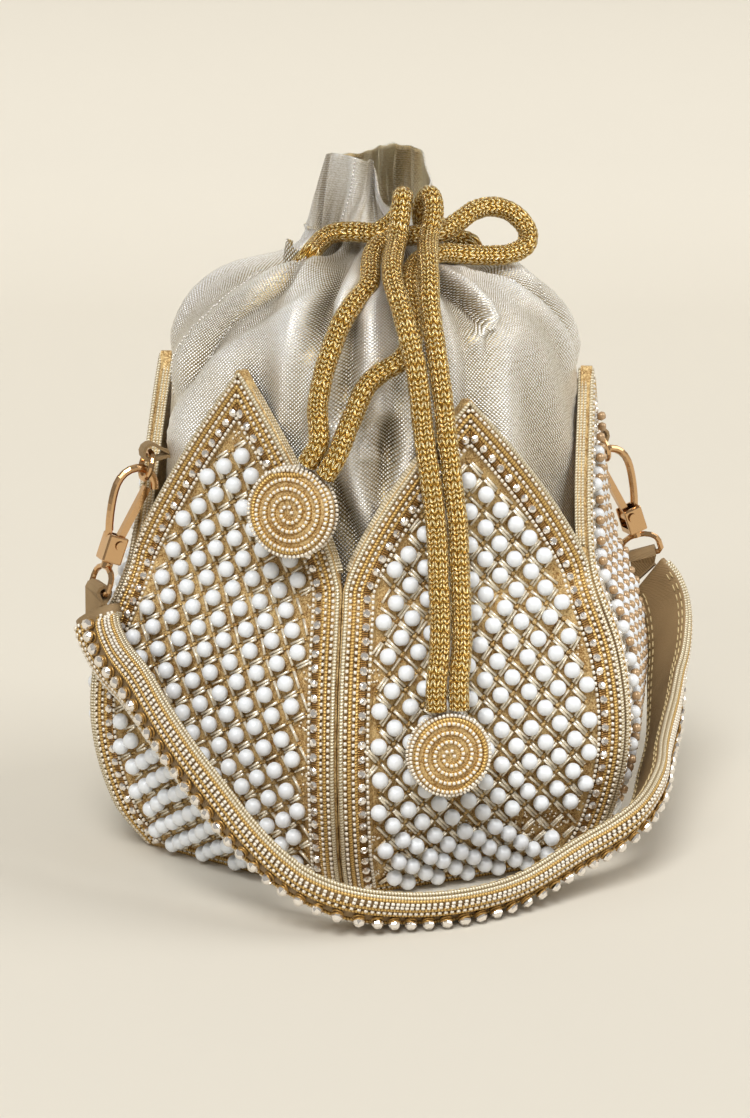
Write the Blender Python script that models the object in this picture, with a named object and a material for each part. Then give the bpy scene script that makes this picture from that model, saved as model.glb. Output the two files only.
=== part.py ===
"""Potli bag: six pointed stiff petals round a hexagonal base, a drawstring pouch inside them,
gathered at the neck by knitted cords that end in round discs, and a handle clipped on by two snap hooks."""

import math

import bmesh
import bpy
from mathutils import Matrix, Vector

MM = 0.001
GAP = 0.3 * MM

# The cup of petals. Radii run from the bag's axis to a corner of the hexagon.
BASE_R = 72.7 * MM
FOOT_R, FOOT_Z = 83.0 * MM, 15.0 * MM
WIDEST_R, WIDEST_Z = 89.0 * MM, 40.0 * MM
WAIST_R, WAIST_Z = 86.0 * MM, 65.0 * MM
VALLEY_R, VALLEY_Z = 76.0 * MM, 90.0 * MM
PANEL = 2.5 * MM
RIM_WIDTH, RIM_RISE, RIM_STEP = 9.0 * MM, 0.8 * MM, 1.2 * MM
EDGE_DROP = 0.6 * MM
OGIVE_POWER = 1.35
TIP_HALF_WIDTH = 0.8 * MM
SIDES = 6
HALF_SIDE = math.pi / SIDES

# Each petal: the way it faces in degrees, its tip's distance from the axis, and its tip's height.
PETALS = {
    "petal_front": (270, 65.6 * MM, 140.7 * MM),
    "petal_front_left": (210, 62.6 * MM, 147.0 * MM),
    "petal_back_left": (150, 63.2 * MM, 142.0 * MM),
    "petal_back": (90, 63.5 * MM, 141.0 * MM),
    "petal_back_right": (30, 63.5 * MM, 141.0 * MM),
    "petal_front_right": (330, 63.2 * MM, 140.2 * MM),
}

BASE_BOARD = 2.5 * MM

# The pouch. CLEAR is the room between it and the petals' lining.
CLEAR = 0.6 * MM
CLOTH = 1.2 * MM
NECK_R, NECK_Z, THROAT_R = 14.2 * MM, 179.0 * MM, 4.6 * MM
RUFFLE_R, RUFFLE_Z = 20.5 * MM, 206.0 * MM
FOLDS = 12
POUCH_STEPS = 36
POUCH_ROWS_IN_CUP = (15.0 * MM, WIDEST_Z, WAIST_Z, 78.0 * MM, VALLEY_Z)
# Height below the neck, distance across a flat side and share of it that the corners stand out.
POUCH_SHOULDER = (
    (75.0 * MM, 61.0 * MM, 0.055),
    (54.0 * MM, 60.2 * MM, 0.055),
    (38.0 * MM, 59.6 * MM, 0.050),
    (29.0 * MM, 58.2 * MM, 0.040),
    (22.0 * MM, 55.0 * MM, 0.030),
    (16.0 * MM, 50.5 * MM, 0.015),
    (11.0 * MM, 43.0 * MM, 0.0),
    (7.5 * MM, 33.0 * MM, 0.0),
    (5.2 * MM, 19.5 * MM, 0.0),
    (3.2 * MM, NECK_R, 0.0),
)
# Height above the neck and distance from the axis.
POUCH_RUFFLE = (
    (3.2 * MM, NECK_R),
    (5.5 * MM, 15.5 * MM),
    (11.0 * MM, 17.6 * MM),
    (19.0 * MM, 19.2 * MM),
    (RUFFLE_Z - NECK_Z, RUFFLE_R),
)

# The drawstrings and the discs at their ends.
CORD_D = 5.8 * MM
CORD_STEP = 5.5 * MM
DISC_THICK = 5.0 * MM
# Each disc: its centre, radius, the way it faces (degrees round and up) and how far its cords lean right.
DISCS = {
    "cord_disc_upper": ((-50.2, -60.1, 112.6), 13.0 * MM, 226, 8, 28),
    "cord_disc_lower": ((-15.2, -87.0, 46.7), 12.0 * MM, 260, 5, 0),
}
CORD_PITCH = CORD_D + 0.5 * MM
CORD_RUN_IN = 7.0 * MM

# The handle's swing axis runs along X through both fabric loops.
AXIS_Z = 118.0 * MM
WIRE = 1.8 * MM
RING_R = 4.0 * MM
LOOP_WIDTH, LOOP_TAPE, LOOP_SLACK = 4.0 * MM, 0.9 * MM, 0.8 * MM

# The snap hook, in its own plane: first number up the hook from its rivet, second outwards.
HOOK_WIRE = 2.4 * MM
HOOK_SPINE = (
    (1.5, 2.0), (5.0, 3.1), (9.0, 4.0), (13.0, 4.6), (16.6, 4.7), (19.6, 3.9),
    (21.9, 2.0), (23.1, -0.6), (22.9, -3.2), (21.5, -5.2), (19.9, -6.3), (18.4, -6.8),
)
HOOK_PIVOT_OUT = -0.9 * MM
RING_SEAT = (20.4 * MM, -2.4 * MM)
FORK_HALF, FORK_LOW, FORK_HIGH = 3.0 * MM, -5.6 * MM, 2.6 * MM
CHEEK_IN, CHEEK_OUT = 2.2 * MM, 3.3 * MM
SLOT_LOW, SLOT_OUT = -3.4 * MM, 1.9 * MM
RIVET_R, RIVET_HEAD_R, RIVET_HEAD = 0.8 * MM, 1.4 * MM, 0.5 * MM
GATE_ROOT_R, GATE_TIP, GATE_HALF = 1.7 * MM, (18.3 * MM, -4.3 * MM), 1.0 * MM
STEM_R, STEM_HEAD_R, STEM_HEAD, COLLAR_R = 0.9 * MM, 1.5 * MM, 0.7 * MM, 1.7 * MM
EYE_TOP, EYE_BAR, EYE_HALF, EYE_CORNER = -7.2 * MM, -14.4 * MM, 6.0 * MM, 0.9 * MM
TAB_WIDTH, TAB_TAPE = 8.4 * MM, 1.0 * MM

# Each side: sign of X, fabric loop's fold (distance out, distance below the axis), hook's lean and eye's turn.
SIDE = {
    "left": (-1, 70.4 * MM, -1.0 * MM, 20, 85),
    "right": (1, 74.6 * MM, 6.4 * MM, 20, 30),
}

# The strap: a D section, with its flat lining towards the bag.
STRAP_WIDTH, STRAP_CROWN, STRAP_EDGE = 16.0 * MM, 5.5 * MM, 1.6 * MM
STRAP_STEPS = 44
# The strap's ends hang this far from the bars of the swivel eyes, and face this way.
STRAP_ENDS = {"left": ((-0.6, -3.2, -6.2), 206), "right": ((0.2, -1.2, -6.0), 50)}
# Each station: degrees round the bag, room from the petals, height, and the way the beaded face looks (round, up).
STRAP_ROUTE = (
    (184.4, 5.6, 68.6, 206, -4),
    (190.5, 8.4, 63.5, 206, -10),
    (199.0, 11.6, 58.5, 208, -20),
    (207.0, 14.0, 50.5, 212, -32),
    (216.0, 16.0, 39.5, 221, -42),
    (225.0, 17.5, 27.0, 232, -50),
    (233.5, 18.0, 17.0, 240, -56),
    (242.0, 18.5, 11.0, 248, -60),
    (250.5, 23.0, 7.8, 256, -62),
    (260.0, 25.6, 7.2, 264, -62),
    (271.0, 23.0, 8.2, 275, -60),
    (283.0, 16.5, 13.0, 290, -54),
    (295.0, 11.0, 19.0, 306, -47),
    (305.5, 7.6, 23.6, 323, -40),
    (316.0, 8.0, 27.5, 344, -32),
    (330.6, 9.0, 32.6, 8, -20),
    (341.4, 9.0, 40.0, 22, -12),
    (349.1, 9.8, 48.5, 33, -6),
    (354.3, 9.8, 56.5, 42, -3),
    (357.0, 8.4, 62.5, 47, 0),
)

# The routes of the three drawstrings, in millimetres. A disc's name stands for the cord's end on that disc.
DRAWSTRINGS = {
    "drawstring_left": (
        (-26.5, -14.5, 175.4), (-21.5, -8.8, 177.4), (-17.4, -8.8, 180.0), (-13.2, -13.9, 181.3),
        (-7.5, -18.2, 181.2), (-3.0, -20.6, 184.6), (-1.5, -22.9, 189.0), (-2.6, -26.0, 192.3),
        (-4.5, -29.6, 190.6), (-6.0, -31.5, 186.0), (-8.2, -34.2, 180.0), (-13.5, -43.5, 175.8),
        (-15.9, -49.8, 172.4), (-17.4, -59.6, 165.2), (-17.0, -66.2, 154.8), (-15.9, -68.0, 144.5),
        (-15.0, -68.2, 134.5), (-14.2, -71.0, 122.5), (-13.0, -73.0, 108.0), (-13.2, -75.5, 92.0),
        (-15.2, -81.0, 76.5), ("cord_disc_lower", -1),
    ),
    "drawstring_right": (
        (24.5, -14.5, 175.4), (20.0, -10.2, 177.6), (16.6, -10.8, 180.3), (12.3, -15.0, 181.6),
        (7.4, -18.4, 182.7), (5.7, -20.6, 186.2), (5.4, -23.0, 189.8), (5.6, -26.1, 192.2),
        (5.3, -29.5, 190.2), (4.2, -31.5, 186.0), (1.8, -34.3, 181.3), (-2.4, -42.6, 178.5),
        (-5.3, -50.2, 174.9), (-8.7, -58.4, 167.4), (-10.0, -64.8, 157.5), (-9.4, -67.4, 147.0),
        (-8.5, -68.4, 136.5), (-7.7, -71.0, 122.5), (-6.6, -73.0, 108.0), (-6.9, -75.7, 92.0),
        (-8.8, -81.2, 76.5), ("cord_disc_lower", 1),
    ),
    "drawstring_bow": (
        ("cord_disc_upper", -1), (-41.4, -57.0, 140.8), (-37.8, -53.2, 149.3),
        (-34.2, -50.2, 155.7), (-30.5, -48.2, 161.7), (-25.8, -45.8, 166.4), (-19.6, -41.6, 170.6),
        (-15.6, -33.2, 174.8), (-11.0, -27.0, 178.2), (-4.5, -25.6, 180.4), (2.5, -25.4, 181.0),
        (9.6, -24.9, 181.2), (15.8, -23.2, 183.6), (22.0, -21.4, 186.3), (28.5, -20.8, 187.0),
        (34.0, -21.8, 185.0), (37.3, -24.2, 180.5), (36.0, -26.8, 176.3), (30.5, -28.4, 174.4),
        (23.0, -28.9, 174.3), (15.5, -29.2, 175.0), (8.6, -29.4, 176.0), (3.0, -31.4, 175.6),
        (-3.5, -36.6, 174.2), (-9.5, -45.8, 170.2), (-12.0, -54.2, 162.5), (-14.2, -58.8, 156.6),
        (-18.6, -60.2, 151.9), (-23.5, -59.4, 149.0), (-28.6, -60.4, 145.4), (-33.2, -62.6, 138.6),
        ("cord_disc_upper", 1),
    ),
}

CUP_KEYS = (
    (0.0, BASE_R), (FOOT_Z, FOOT_R), (WIDEST_Z, WIDEST_R), (WAIST_Z, WAIST_R), (VALLEY_Z, VALLEY_R),
)


def read_curve(keys, x):
    """The smooth curve through (x, y) keys, read at x."""
    xs, ys = [k[0] for k in keys], [k[1] for k in keys]
    if x <= xs[0]:
        return ys[0]
    if x >= xs[-1]:
        return ys[-1]
    i = max(j for j in range(len(xs) - 1) if xs[j] <= x)

    def slope(j):
        before, after = max(j - 1, 0), min(j + 1, len(xs) - 1)
        return (ys[after] - ys[before]) / (xs[after] - xs[before])

    step = xs[i + 1] - xs[i]
    t = (x - xs[i]) / step
    rise = t * (1 - t) ** 2 * step * slope(i) + t * t * (t - 1) * step * slope(i + 1)
    return (1 + 2 * t) * (1 - t) ** 2 * ys[i] + t * t * (3 - 2 * t) * ys[i + 1] + rise


def smooth_path(points, step):
    """Points about one step apart on the smooth curve through these points."""
    points = [Vector(p) for p in points]
    run = [0.0]
    for a, b in zip(points, points[1:]):
        run.append(run[-1] + (b - a).length)
    count = max(2, round(run[-1] / step))
    axes = [[(run[i], p[k]) for i, p in enumerate(points)] for k in range(3)]
    return [Vector([read_curve(keys, run[-1] * i / count) for keys in axes]) for i in range(count + 1)]


def facing(azimuth, elevation=0.0):
    a, e = math.radians(azimuth), math.radians(elevation)
    return Vector((math.cos(a) * math.cos(e), math.sin(a) * math.cos(e), math.sin(e)))


def finish_material(obj, colour, roughness, metallic=0.0):
    mat = bpy.data.materials.new(obj.name + "_finish")
    mat.use_nodes = True
    shader = mat.node_tree.nodes["Principled BSDF"]
    shader.inputs["Base Color"].default_value = (*colour, 1.0)
    shader.inputs["Roughness"].default_value = roughness
    shader.inputs["Metallic"].default_value = metallic
    obj.data.materials.clear()
    obj.data.materials.append(mat)


def add_mesh(name, verts, faces):
    mesh = bpy.data.meshes.new(name)
    bm = bmesh.new()
    made = [bm.verts.new(v) for v in verts]
    for face in faces:
        bm.faces.new([made[i] for i in face])
    bmesh.ops.recalc_face_normals(bm, faces=bm.faces)
    bm.to_mesh(mesh)
    bm.free()
    obj = bpy.data.objects.new(name, mesh)
    bpy.context.scene.collection.objects.link(obj)
    return obj


def smooth(obj, degrees=35):
    obj.data.shade_smooth()
    obj.data.set_sharp_from_angle(angle=math.radians(degrees))


def set_origin(obj, point):
    """Moves the object's origin to this point, and leaves its shape where it is."""
    obj.data.transform(Matrix.Translation(-Vector(point)))
    obj.location = point


def sweep(name, points, ups, section, closed=False, squared=True):
    """A section of (across, up) pairs carried along points. Up vectors are squared to the path, or kept as given."""
    count = len(points)
    rings = []
    for i, p in enumerate(points):
        if closed:
            ahead, behind = points[(i + 1) % count], points[i - 1]
        else:
            ahead, behind = points[min(i + 1, count - 1)], points[max(i - 1, 0)]
        along = (ahead - behind).normalized()
        across = along.cross(ups[i]).normalized()
        up = across.cross(along) if squared else ups[i]
        rings.append([p + across * u + up * v for u, v in section])
    size = len(section)
    verts = [v for ring in rings for v in ring]
    faces = []
    for i in range(count if closed else count - 1):
        nxt = (i + 1) % count
        for j in range(size):
            k = (j + 1) % size
            faces.append((i * size + j, i * size + k, nxt * size + k, nxt * size + j))
    if not closed:
        faces.append(tuple(range(size)))
        faces.append(tuple((count - 1) * size + j for j in range(size)))
    return add_mesh(name, verts, faces)


def round_section(radius, steps=8):
    return [
        (radius * math.cos(2 * math.pi * i / steps), radius * math.sin(2 * math.pi * i / steps))
        for i in range(steps)
    ]


def box_section(width, height):
    return [(-width / 2, -height / 2), (width / 2, -height / 2), (width / 2, height / 2), (-width / 2, height / 2)]


def cylinder_between(name, start, end, radius, steps=16):
    start, end = Vector(start), Vector(end)
    length = (end - start).length
    bpy.ops.mesh.primitive_cylinder_add(vertices=steps, radius=radius, depth=length)
    obj = bpy.context.active_object
    obj.name = obj.data.name = name
    turn = Vector((0, 0, 1)).rotation_difference(end - start)
    obj.data.transform(Matrix.Translation((start + end) / 2) @ turn.to_matrix().to_4x4())
    return obj


def joined(obj, tool, operation):
    """Applies an exact Boolean of obj with tool, and removes the tool."""
    modifier = obj.modifiers.new(operation.lower(), "BOOLEAN")
    modifier.operation = operation
    modifier.object = tool
    modifier.solver = "EXACT"
    graph = bpy.context.evaluated_depsgraph_get()
    mesh = bpy.data.meshes.new_from_object(obj.evaluated_get(graph))
    obj.modifiers.clear()
    old = obj.data
    obj.data = mesh
    mesh.name = old.name
    bpy.data.meshes.remove(old)
    bpy.data.objects.remove(tool, do_unlink=True)
    return obj


def petal_apothem(z, tip_out, tip_z):
    keys = [(height, radius * math.cos(HALF_SIDE)) for height, radius in CUP_KEYS] + [(tip_z, tip_out)]
    return read_curve(keys, z)


def cup_apothem(z):
    """The outer face of the petal that stands nearest the axis at this height."""
    return min(petal_apothem(z, tip_out, tip_z) for _, tip_out, tip_z in PETALS.values())


def seam_half_width(apothem):
    """Half the width of a side at this distance, with half a gap kept to the next petal."""
    return (apothem * math.sin(HALF_SIDE) - GAP / 2) / math.cos(HALF_SIDE)


def make_petal(name, azimuth, tip_out, tip_z):
    rise = tip_z - VALLEY_Z
    heights = [z * MM for z in (0, 7, 15, 27, 40, 52, 65, 78, 90)]
    heights[2], heights[4], heights[6], heights[8] = FOOT_Z, WIDEST_Z, WAIST_Z, VALLEY_Z
    heights += [VALLEY_Z + rise * share for share in (0.16, 0.32, 0.48, 0.64, 0.78, 0.9, 1.0)]
    out, side = facing(azimuth), facing(azimuth + 90)
    verts = []
    for z in heights:
        face = petal_apothem(z, tip_out, tip_z)
        halves = []
        for edge in (face - EDGE_DROP, face - PANEL):
            half = seam_half_width(edge)
            if z > VALLEY_Z:
                share = 1 - max(0.0, 1 - (tip_z - z) / rise) ** OGIVE_POWER
                half = max(TIP_HALF_WIDTH, min(half, seam_half_width(face - EDGE_DROP) * share))
            halves.append(half)
        half, inner = halves
        bands = [(half, -EDGE_DROP), (half - min(RIM_STEP, 0.15 * half), RIM_RISE)]
        bands += [(half - min(RIM_WIDTH, 0.7 * half), RIM_RISE)]
        bands += [(half - min(RIM_WIDTH + RIM_STEP, 0.85 * half), 0.0)]
        columns = [(-s, n) for s, n in bands] + [(0.0, 0.0)] + [(s, n) for s, n in reversed(bands)]
        verts += [out * (face + n) + side * s + Vector((0, 0, z)) for s, n in columns]
        verts += [out * (face - PANEL) + side * (s * inner / half) + Vector((0, 0, z)) for s, _ in columns]
    across = 9
    row = 2 * across
    faces = []
    for i in range(len(heights) - 1):
        low, high = i * row, (i + 1) * row
        for j in range(across - 1):
            faces.append((low + j, low + j + 1, high + j + 1, high + j))
            faces.append((low + across + j, high + across + j, high + across + j + 1, low + across + j + 1))
        faces.append((low, high, high + across, low + across))
        last = across - 1
        faces.append((low + last, low + across + last, high + across + last, high + last))
    top = (len(heights) - 1) * row
    for j in range(across - 1):
        faces.append((j, across + j, across + j + 1, j + 1))
        faces.append((top + j, top + j + 1, top + across + j + 1, top + across + j))
    obj = add_mesh(name, verts, faces)
    smooth(obj)
    finish_material(obj, (0.62, 0.44, 0.20), 0.45, 0.5)
    return obj


def make_base():
    radius = (cup_apothem(0.0) - PANEL - GAP) / math.cos(HALF_SIDE)
    bpy.ops.mesh.primitive_cylinder_add(vertices=SIDES, radius=radius, depth=BASE_BOARD)
    obj = bpy.context.active_object
    obj.name = obj.data.name = "base_panel"
    # A six-sided cylinder has its first corner on Y, and the petals' seams start on X.
    turn = Matrix.Rotation(HALF_SIDE, 4, "Z")
    obj.data.transform(Matrix.Translation((0, 0, BASE_BOARD / 2)) @ turn)
    bevel = obj.modifiers.new("worn edge", "BEVEL")
    bevel.width = 0.6 * MM
    bevel.segments = 1
    finish_material(obj, (0.55, 0.46, 0.30), 0.7)
    return obj


def pouch_point(azimuth, z, across, corner, fold, shrink=0.0):
    wave = 1 + corner * (1 - math.cos(SIDES * (azimuth - HALF_SIDE))) / 2
    radius = across * wave * (1 + fold * math.cos(FOLDS * azimuth)) - shrink
    return Vector((radius * math.cos(azimuth), radius * math.sin(azimuth), z))


def make_pouch():
    floor = BASE_BOARD + GAP
    rows = [(floor, cup_apothem(floor) - PANEL - CLEAR, 0.055, 0.0)]
    rows += [(z, cup_apothem(z) - PANEL - CLEAR, 0.055, 0.0) for z in POUCH_ROWS_IN_CUP]
    for below, across, corner in POUCH_SHOULDER:
        fold = 0.05 * max(0.0, 1 - below / (16.0 * MM))
        rows.append((NECK_Z - below, across, corner, fold))
    rows += [(NECK_Z + above, radius, 0.0, 0.06) for above, radius in POUCH_RUFFLE]
    outer = [
        [pouch_point(2 * math.pi * i / POUCH_STEPS, z, across, corner, fold) for i in range(POUCH_STEPS)]
        for z, across, corner, fold in rows
    ]
    inner = []
    for z, across, corner, fold in reversed(rows):
        if abs(z - NECK_Z) < 4.0 * MM:
            across, corner, fold, drop = THROAT_R, 0.0, 0.0, 0.0
        else:
            gathered = max(0.0, 1 - abs(z - NECK_Z) / (14.0 * MM))
            across -= CLOTH + 4.0 * MM * gathered
            drop = 1.0 * MM if floor < z < NECK_Z else 0.0
        if z == floor:
            drop = -CLOTH
        inner.append(
            [pouch_point(2 * math.pi * i / POUCH_STEPS, z - drop, across, corner, fold) for i in range(POUCH_STEPS)]
        )
    rings = outer + inner
    verts = [v for ring in rings for v in ring]
    faces = []
    for i in range(len(rings) - 1):
        for j in range(POUCH_STEPS):
            k = (j + 1) % POUCH_STEPS
            low, high = i * POUCH_STEPS, (i + 1) * POUCH_STEPS
            faces.append((low + j, low + k, high + k, high + j))
    faces.append(tuple(range(POUCH_STEPS)))
    faces.append(tuple((len(rings) - 1) * POUCH_STEPS + j for j in range(POUCH_STEPS)))
    obj = add_mesh("pouch", verts, faces)
    smooth(obj, 60)
    finish_material(obj, (0.62, 0.58, 0.47), 0.35, 0.6)
    return obj


def disc_frame(name):
    """A disc's centre, radius, and the three directions right, up and out of its face."""
    centre, radius, azimuth, elevation, lean = DISCS[name]
    out = facing(azimuth, elevation)
    right = Vector((0, 0, 1)).cross(out).normalized()
    up = out.cross(right)
    return Vector(centre) * MM, radius, right, up, out, math.radians(lean)


def disc_seat(name, side):
    """Where a cord's end meets the disc's rim, and a point up the cord: side -1 is the left cord and 1 the right."""
    centre, radius, right, up, _, lean = disc_frame(name)
    to_cords = up * math.cos(lean) + right * math.sin(lean)
    beside = right * math.cos(lean) - up * math.sin(lean)
    seat = centre + to_cords * (radius + GAP) + beside * (side * CORD_PITCH / 2)
    return [seat, seat + to_cords * CORD_RUN_IN]


def make_disc(name):
    centre, radius, right, up, out, _ = disc_frame(name)
    half, round_off = DISC_THICK / 2, 1.6 * MM
    profile = [(radius - round_off, half), (radius - 0.4 * MM, half * 0.55), (radius, 0.0)]
    profile += [(radius - 0.4 * MM, -half * 0.55), (radius - round_off, -half)]
    steps = 28
    verts, faces = [], []
    for r, n in profile:
        for i in range(steps):
            a = 2 * math.pi * i / steps
            verts.append(centre + (right * math.cos(a) + up * math.sin(a)) * r + out * n)
    for i in range(len(profile) - 1):
        for j in range(steps):
            k = (j + 1) % steps
            faces.append((i * steps + j, i * steps + k, (i + 1) * steps + k, (i + 1) * steps + j))
    faces.append(tuple(range(steps)))
    faces.append(tuple((len(profile) - 1) * steps + j for j in range(steps)))
    obj = add_mesh(name, verts, faces)
    smooth(obj, 50)
    finish_material(obj, (0.75, 0.62, 0.38), 0.4, 0.4)
    return obj


def make_drawstring(name, route):
    points = []
    for place in route:
        if isinstance(place[0], str):
            seat = disc_seat(*place)
            points += reversed(seat) if points else seat
        else:
            points.append(Vector(place) * MM)
    path = smooth_path(points, CORD_STEP)
    curve = bpy.data.curves.new(name, "CURVE")
    curve.dimensions = "3D"
    curve.bevel_depth = CORD_D / 2
    curve.bevel_resolution = 2
    curve.use_fill_caps = True
    spline = curve.splines.new("POLY")
    spline.points.add(len(path) - 1)
    for point, place in zip(spline.points, path):
        point.co = (*place, 1.0)
    obj = bpy.data.objects.new(name, curve)
    bpy.context.scene.collection.objects.link(obj)
    finish_material(obj, (0.66, 0.42, 0.10), 0.35, 0.7)
    return obj


def side_frame(side):
    """The named points and directions of one side's hardware."""
    sign, fold_out, fold_below, lean, turn = SIDE[side]
    lean, turn = math.radians(lean), math.radians(turn)
    up_hook = Vector((-sign * math.sin(lean), 0, math.cos(lean)))
    out_hook = Vector((sign * math.cos(lean), 0, math.sin(lean)))
    ring_down = Vector((sign * 0.3, 0, -1)).normalized()
    fold = Vector((sign * fold_out, 0, AXIS_Z - fold_below))
    ring_centre = fold + ring_down * RING_R
    seat = fold + ring_down * (2 * RING_R)
    pivot = seat - up_hook * RING_SEAT[0] - out_hook * RING_SEAT[1]
    eye_across = out_hook * math.cos(turn) + Vector((0, -sign, 0)) * math.sin(turn)
    return {
        "sign": sign, "up": up_hook, "out": out_hook, "fold": fold, "ring_down": ring_down,
        "ring_centre": ring_centre, "block": pivot, "rivet": pivot + out_hook * HOOK_PIVOT_OUT,
        "eye_across": eye_across, "bar": pivot + up_hook * EYE_BAR,
    }


def hook_place(frame, up, out, y=0.0):
    return frame["block"] + frame["up"] * up + frame["out"] * out + Vector((0, y, 0))


def hook_block(frame, name, low, high, inner, outer, half_y, bevel=0.0):
    """A box in the hook's own directions."""
    bpy.ops.mesh.primitive_cube_add(size=1)
    obj = bpy.context.active_object
    obj.name = obj.data.name = name
    basis = Matrix((frame["up"], frame["out"], Vector((0, 1, 0)))).transposed().to_4x4()
    size = Matrix.Diagonal((high - low, outer - inner, 2 * half_y, 1.0))
    centre = hook_place(frame, (low + high) / 2, (inner + outer) / 2)
    obj.data.transform(Matrix.Translation(centre) @ basis @ size)
    bm = bmesh.new()
    bm.from_mesh(obj.data)
    bmesh.ops.recalc_face_normals(bm, faces=bm.faces)
    if bevel:
        bmesh.ops.bevel(bm, geom=bm.edges[:], offset=bevel, segments=2, affect="EDGES", profile=0.5)
    bm.to_mesh(obj.data)
    bm.free()
    return obj


def make_ring_loop(side, frame):
    """A tape of doubled cloth, sewn to the bag on the swing axis, with the ring's wire in its fold."""
    sign = frame["sign"]
    fold_r = WIRE / 2 + GAP + LOOP_SLACK + LOOP_TAPE / 2
    fold = frame["fold"]
    leg = 0.55 * LOOP_TAPE + 0.1 * MM
    root_x = pouch_side() + GAP + 0.1 * MM
    slope = math.atan2(AXIS_Z - fold.z, abs(fold.x) - root_x)
    root_x += (leg + LOOP_TAPE / 2) * abs(math.sin(slope))
    root = Vector((sign * root_x, 0, AXIS_Z))
    along = (fold - root).normalized()
    beside = Vector((0, 1, 0)).cross(along).normalized()
    points = [root + beside * leg, root + along * 1.2 * MM + beside * leg]
    for i in range(9):
        a = math.radians(130 - 260 * i / 8)
        points.append(fold + along * (fold_r * math.cos(a)) + beside * (fold_r * math.sin(a)))
    points += [root + along * 1.2 * MM - beside * leg, root - beside * leg]
    obj = sweep("ring_loop_" + side, points, [Vector((0, 1, 0))] * len(points), box_section(LOOP_TAPE, LOOP_WIDTH))
    finish_material(obj, (0.55, 0.46, 0.30), 0.6, 0.3)
    return obj


def pouch_side():
    """How far the pouch reaches along X at the height of the swing axis."""
    below = NECK_Z - AXIS_Z
    keys = sorted((depth, across * (1 + corner)) for depth, across, corner in POUCH_SHOULDER)
    return read_curve(keys, below)


def make_ring(side, frame):
    centre, down = frame["ring_centre"], frame["ring_down"]
    steps = 20
    points = []
    for i in range(steps):
        a = 2 * math.pi * i / steps
        points.append(centre + down * (RING_R * math.cos(a)) + Vector((0, RING_R * math.sin(a), 0)))
    face = down.cross(Vector((0, 1, 0)))
    obj = sweep("bag_ring_" + side, points, [face] * steps, round_section(WIRE / 2), closed=True)
    smooth(obj, 60)
    finish_material(obj, (0.80, 0.58, 0.38), 0.2, 1.0)
    return obj


def make_hook(side, frame):
    route = [hook_place(frame, up * MM, out * MM) for up, out in HOOK_SPINE]
    path = smooth_path(route, 1.9 * MM)
    wire = sweep("wire", path, [Vector((0, 1, 0))] * len(path), round_section(HOOK_WIRE / 2, 10))
    name = "hook_" + side
    hook = hook_block(frame, name, FORK_LOW, FORK_HIGH, -FORK_HALF, FORK_HALF, CHEEK_OUT, 0.5 * MM)
    joined(hook, wire, "UNION")
    slot = hook_block(frame, "slot", SLOT_LOW, FORK_HIGH + 1 * MM, -FORK_HALF - 1 * MM, SLOT_OUT, CHEEK_IN)
    joined(hook, slot, "DIFFERENCE")
    rivet, y = frame["rivet"], Vector((0, 1, 0))
    joined(hook, cylinder_between("hole", rivet - y * 5 * MM, rivet + y * 5 * MM, RIVET_R + GAP), "DIFFERENCE")
    low, high = hook_place(frame, FORK_LOW - 1 * MM, 0), hook_place(frame, SLOT_LOW + 0.6 * MM, 0)
    joined(hook, cylinder_between("bore", low, high, STEM_R + GAP), "DIFFERENCE")
    smooth(hook, 40)
    finish_material(hook, (0.85, 0.60, 0.40), 0.18, 1.0)
    return hook


def make_gate(side, frame):
    rivet, y = frame["rivet"], Vector((0, 1, 0))
    tip = hook_place(frame, *GATE_TIP)
    root_half = CHEEK_IN - GAP
    gate = cylinder_between("gate_" + side, rivet - y * root_half, rivet + y * root_half, GATE_ROOT_R)
    along = (tip - rivet).normalized()
    bar = sweep("bar", [rivet, tip - along * GATE_HALF * 0.6, tip], [y] * 3, box_section(2 * GATE_HALF, 2.4 * MM))
    joined(gate, bar, "UNION")
    joined(gate, cylinder_between("hole", rivet - y * 5 * MM, rivet + y * 5 * MM, RIVET_R + GAP), "DIFFERENCE")
    smooth(gate, 40)
    finish_material(gate, (0.85, 0.60, 0.40), 0.18, 1.0)
    set_origin(gate, rivet)
    return gate


def make_rivet(side, frame):
    rivet, y = frame["rivet"], Vector((0, 1, 0))
    seat = CHEEK_OUT + GAP
    pin = cylinder_between("gate_rivet_" + side, rivet - y * seat * 1.02, rivet + y * seat * 1.02, RIVET_R)
    for way in (-1, 1):
        start = rivet + y * way * seat
        joined(pin, cylinder_between("head", start, start + y * way * RIVET_HEAD, RIVET_HEAD_R), "UNION")
    smooth(pin, 40)
    finish_material(pin, (0.85, 0.60, 0.40), 0.2, 1.0)
    return pin


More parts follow.
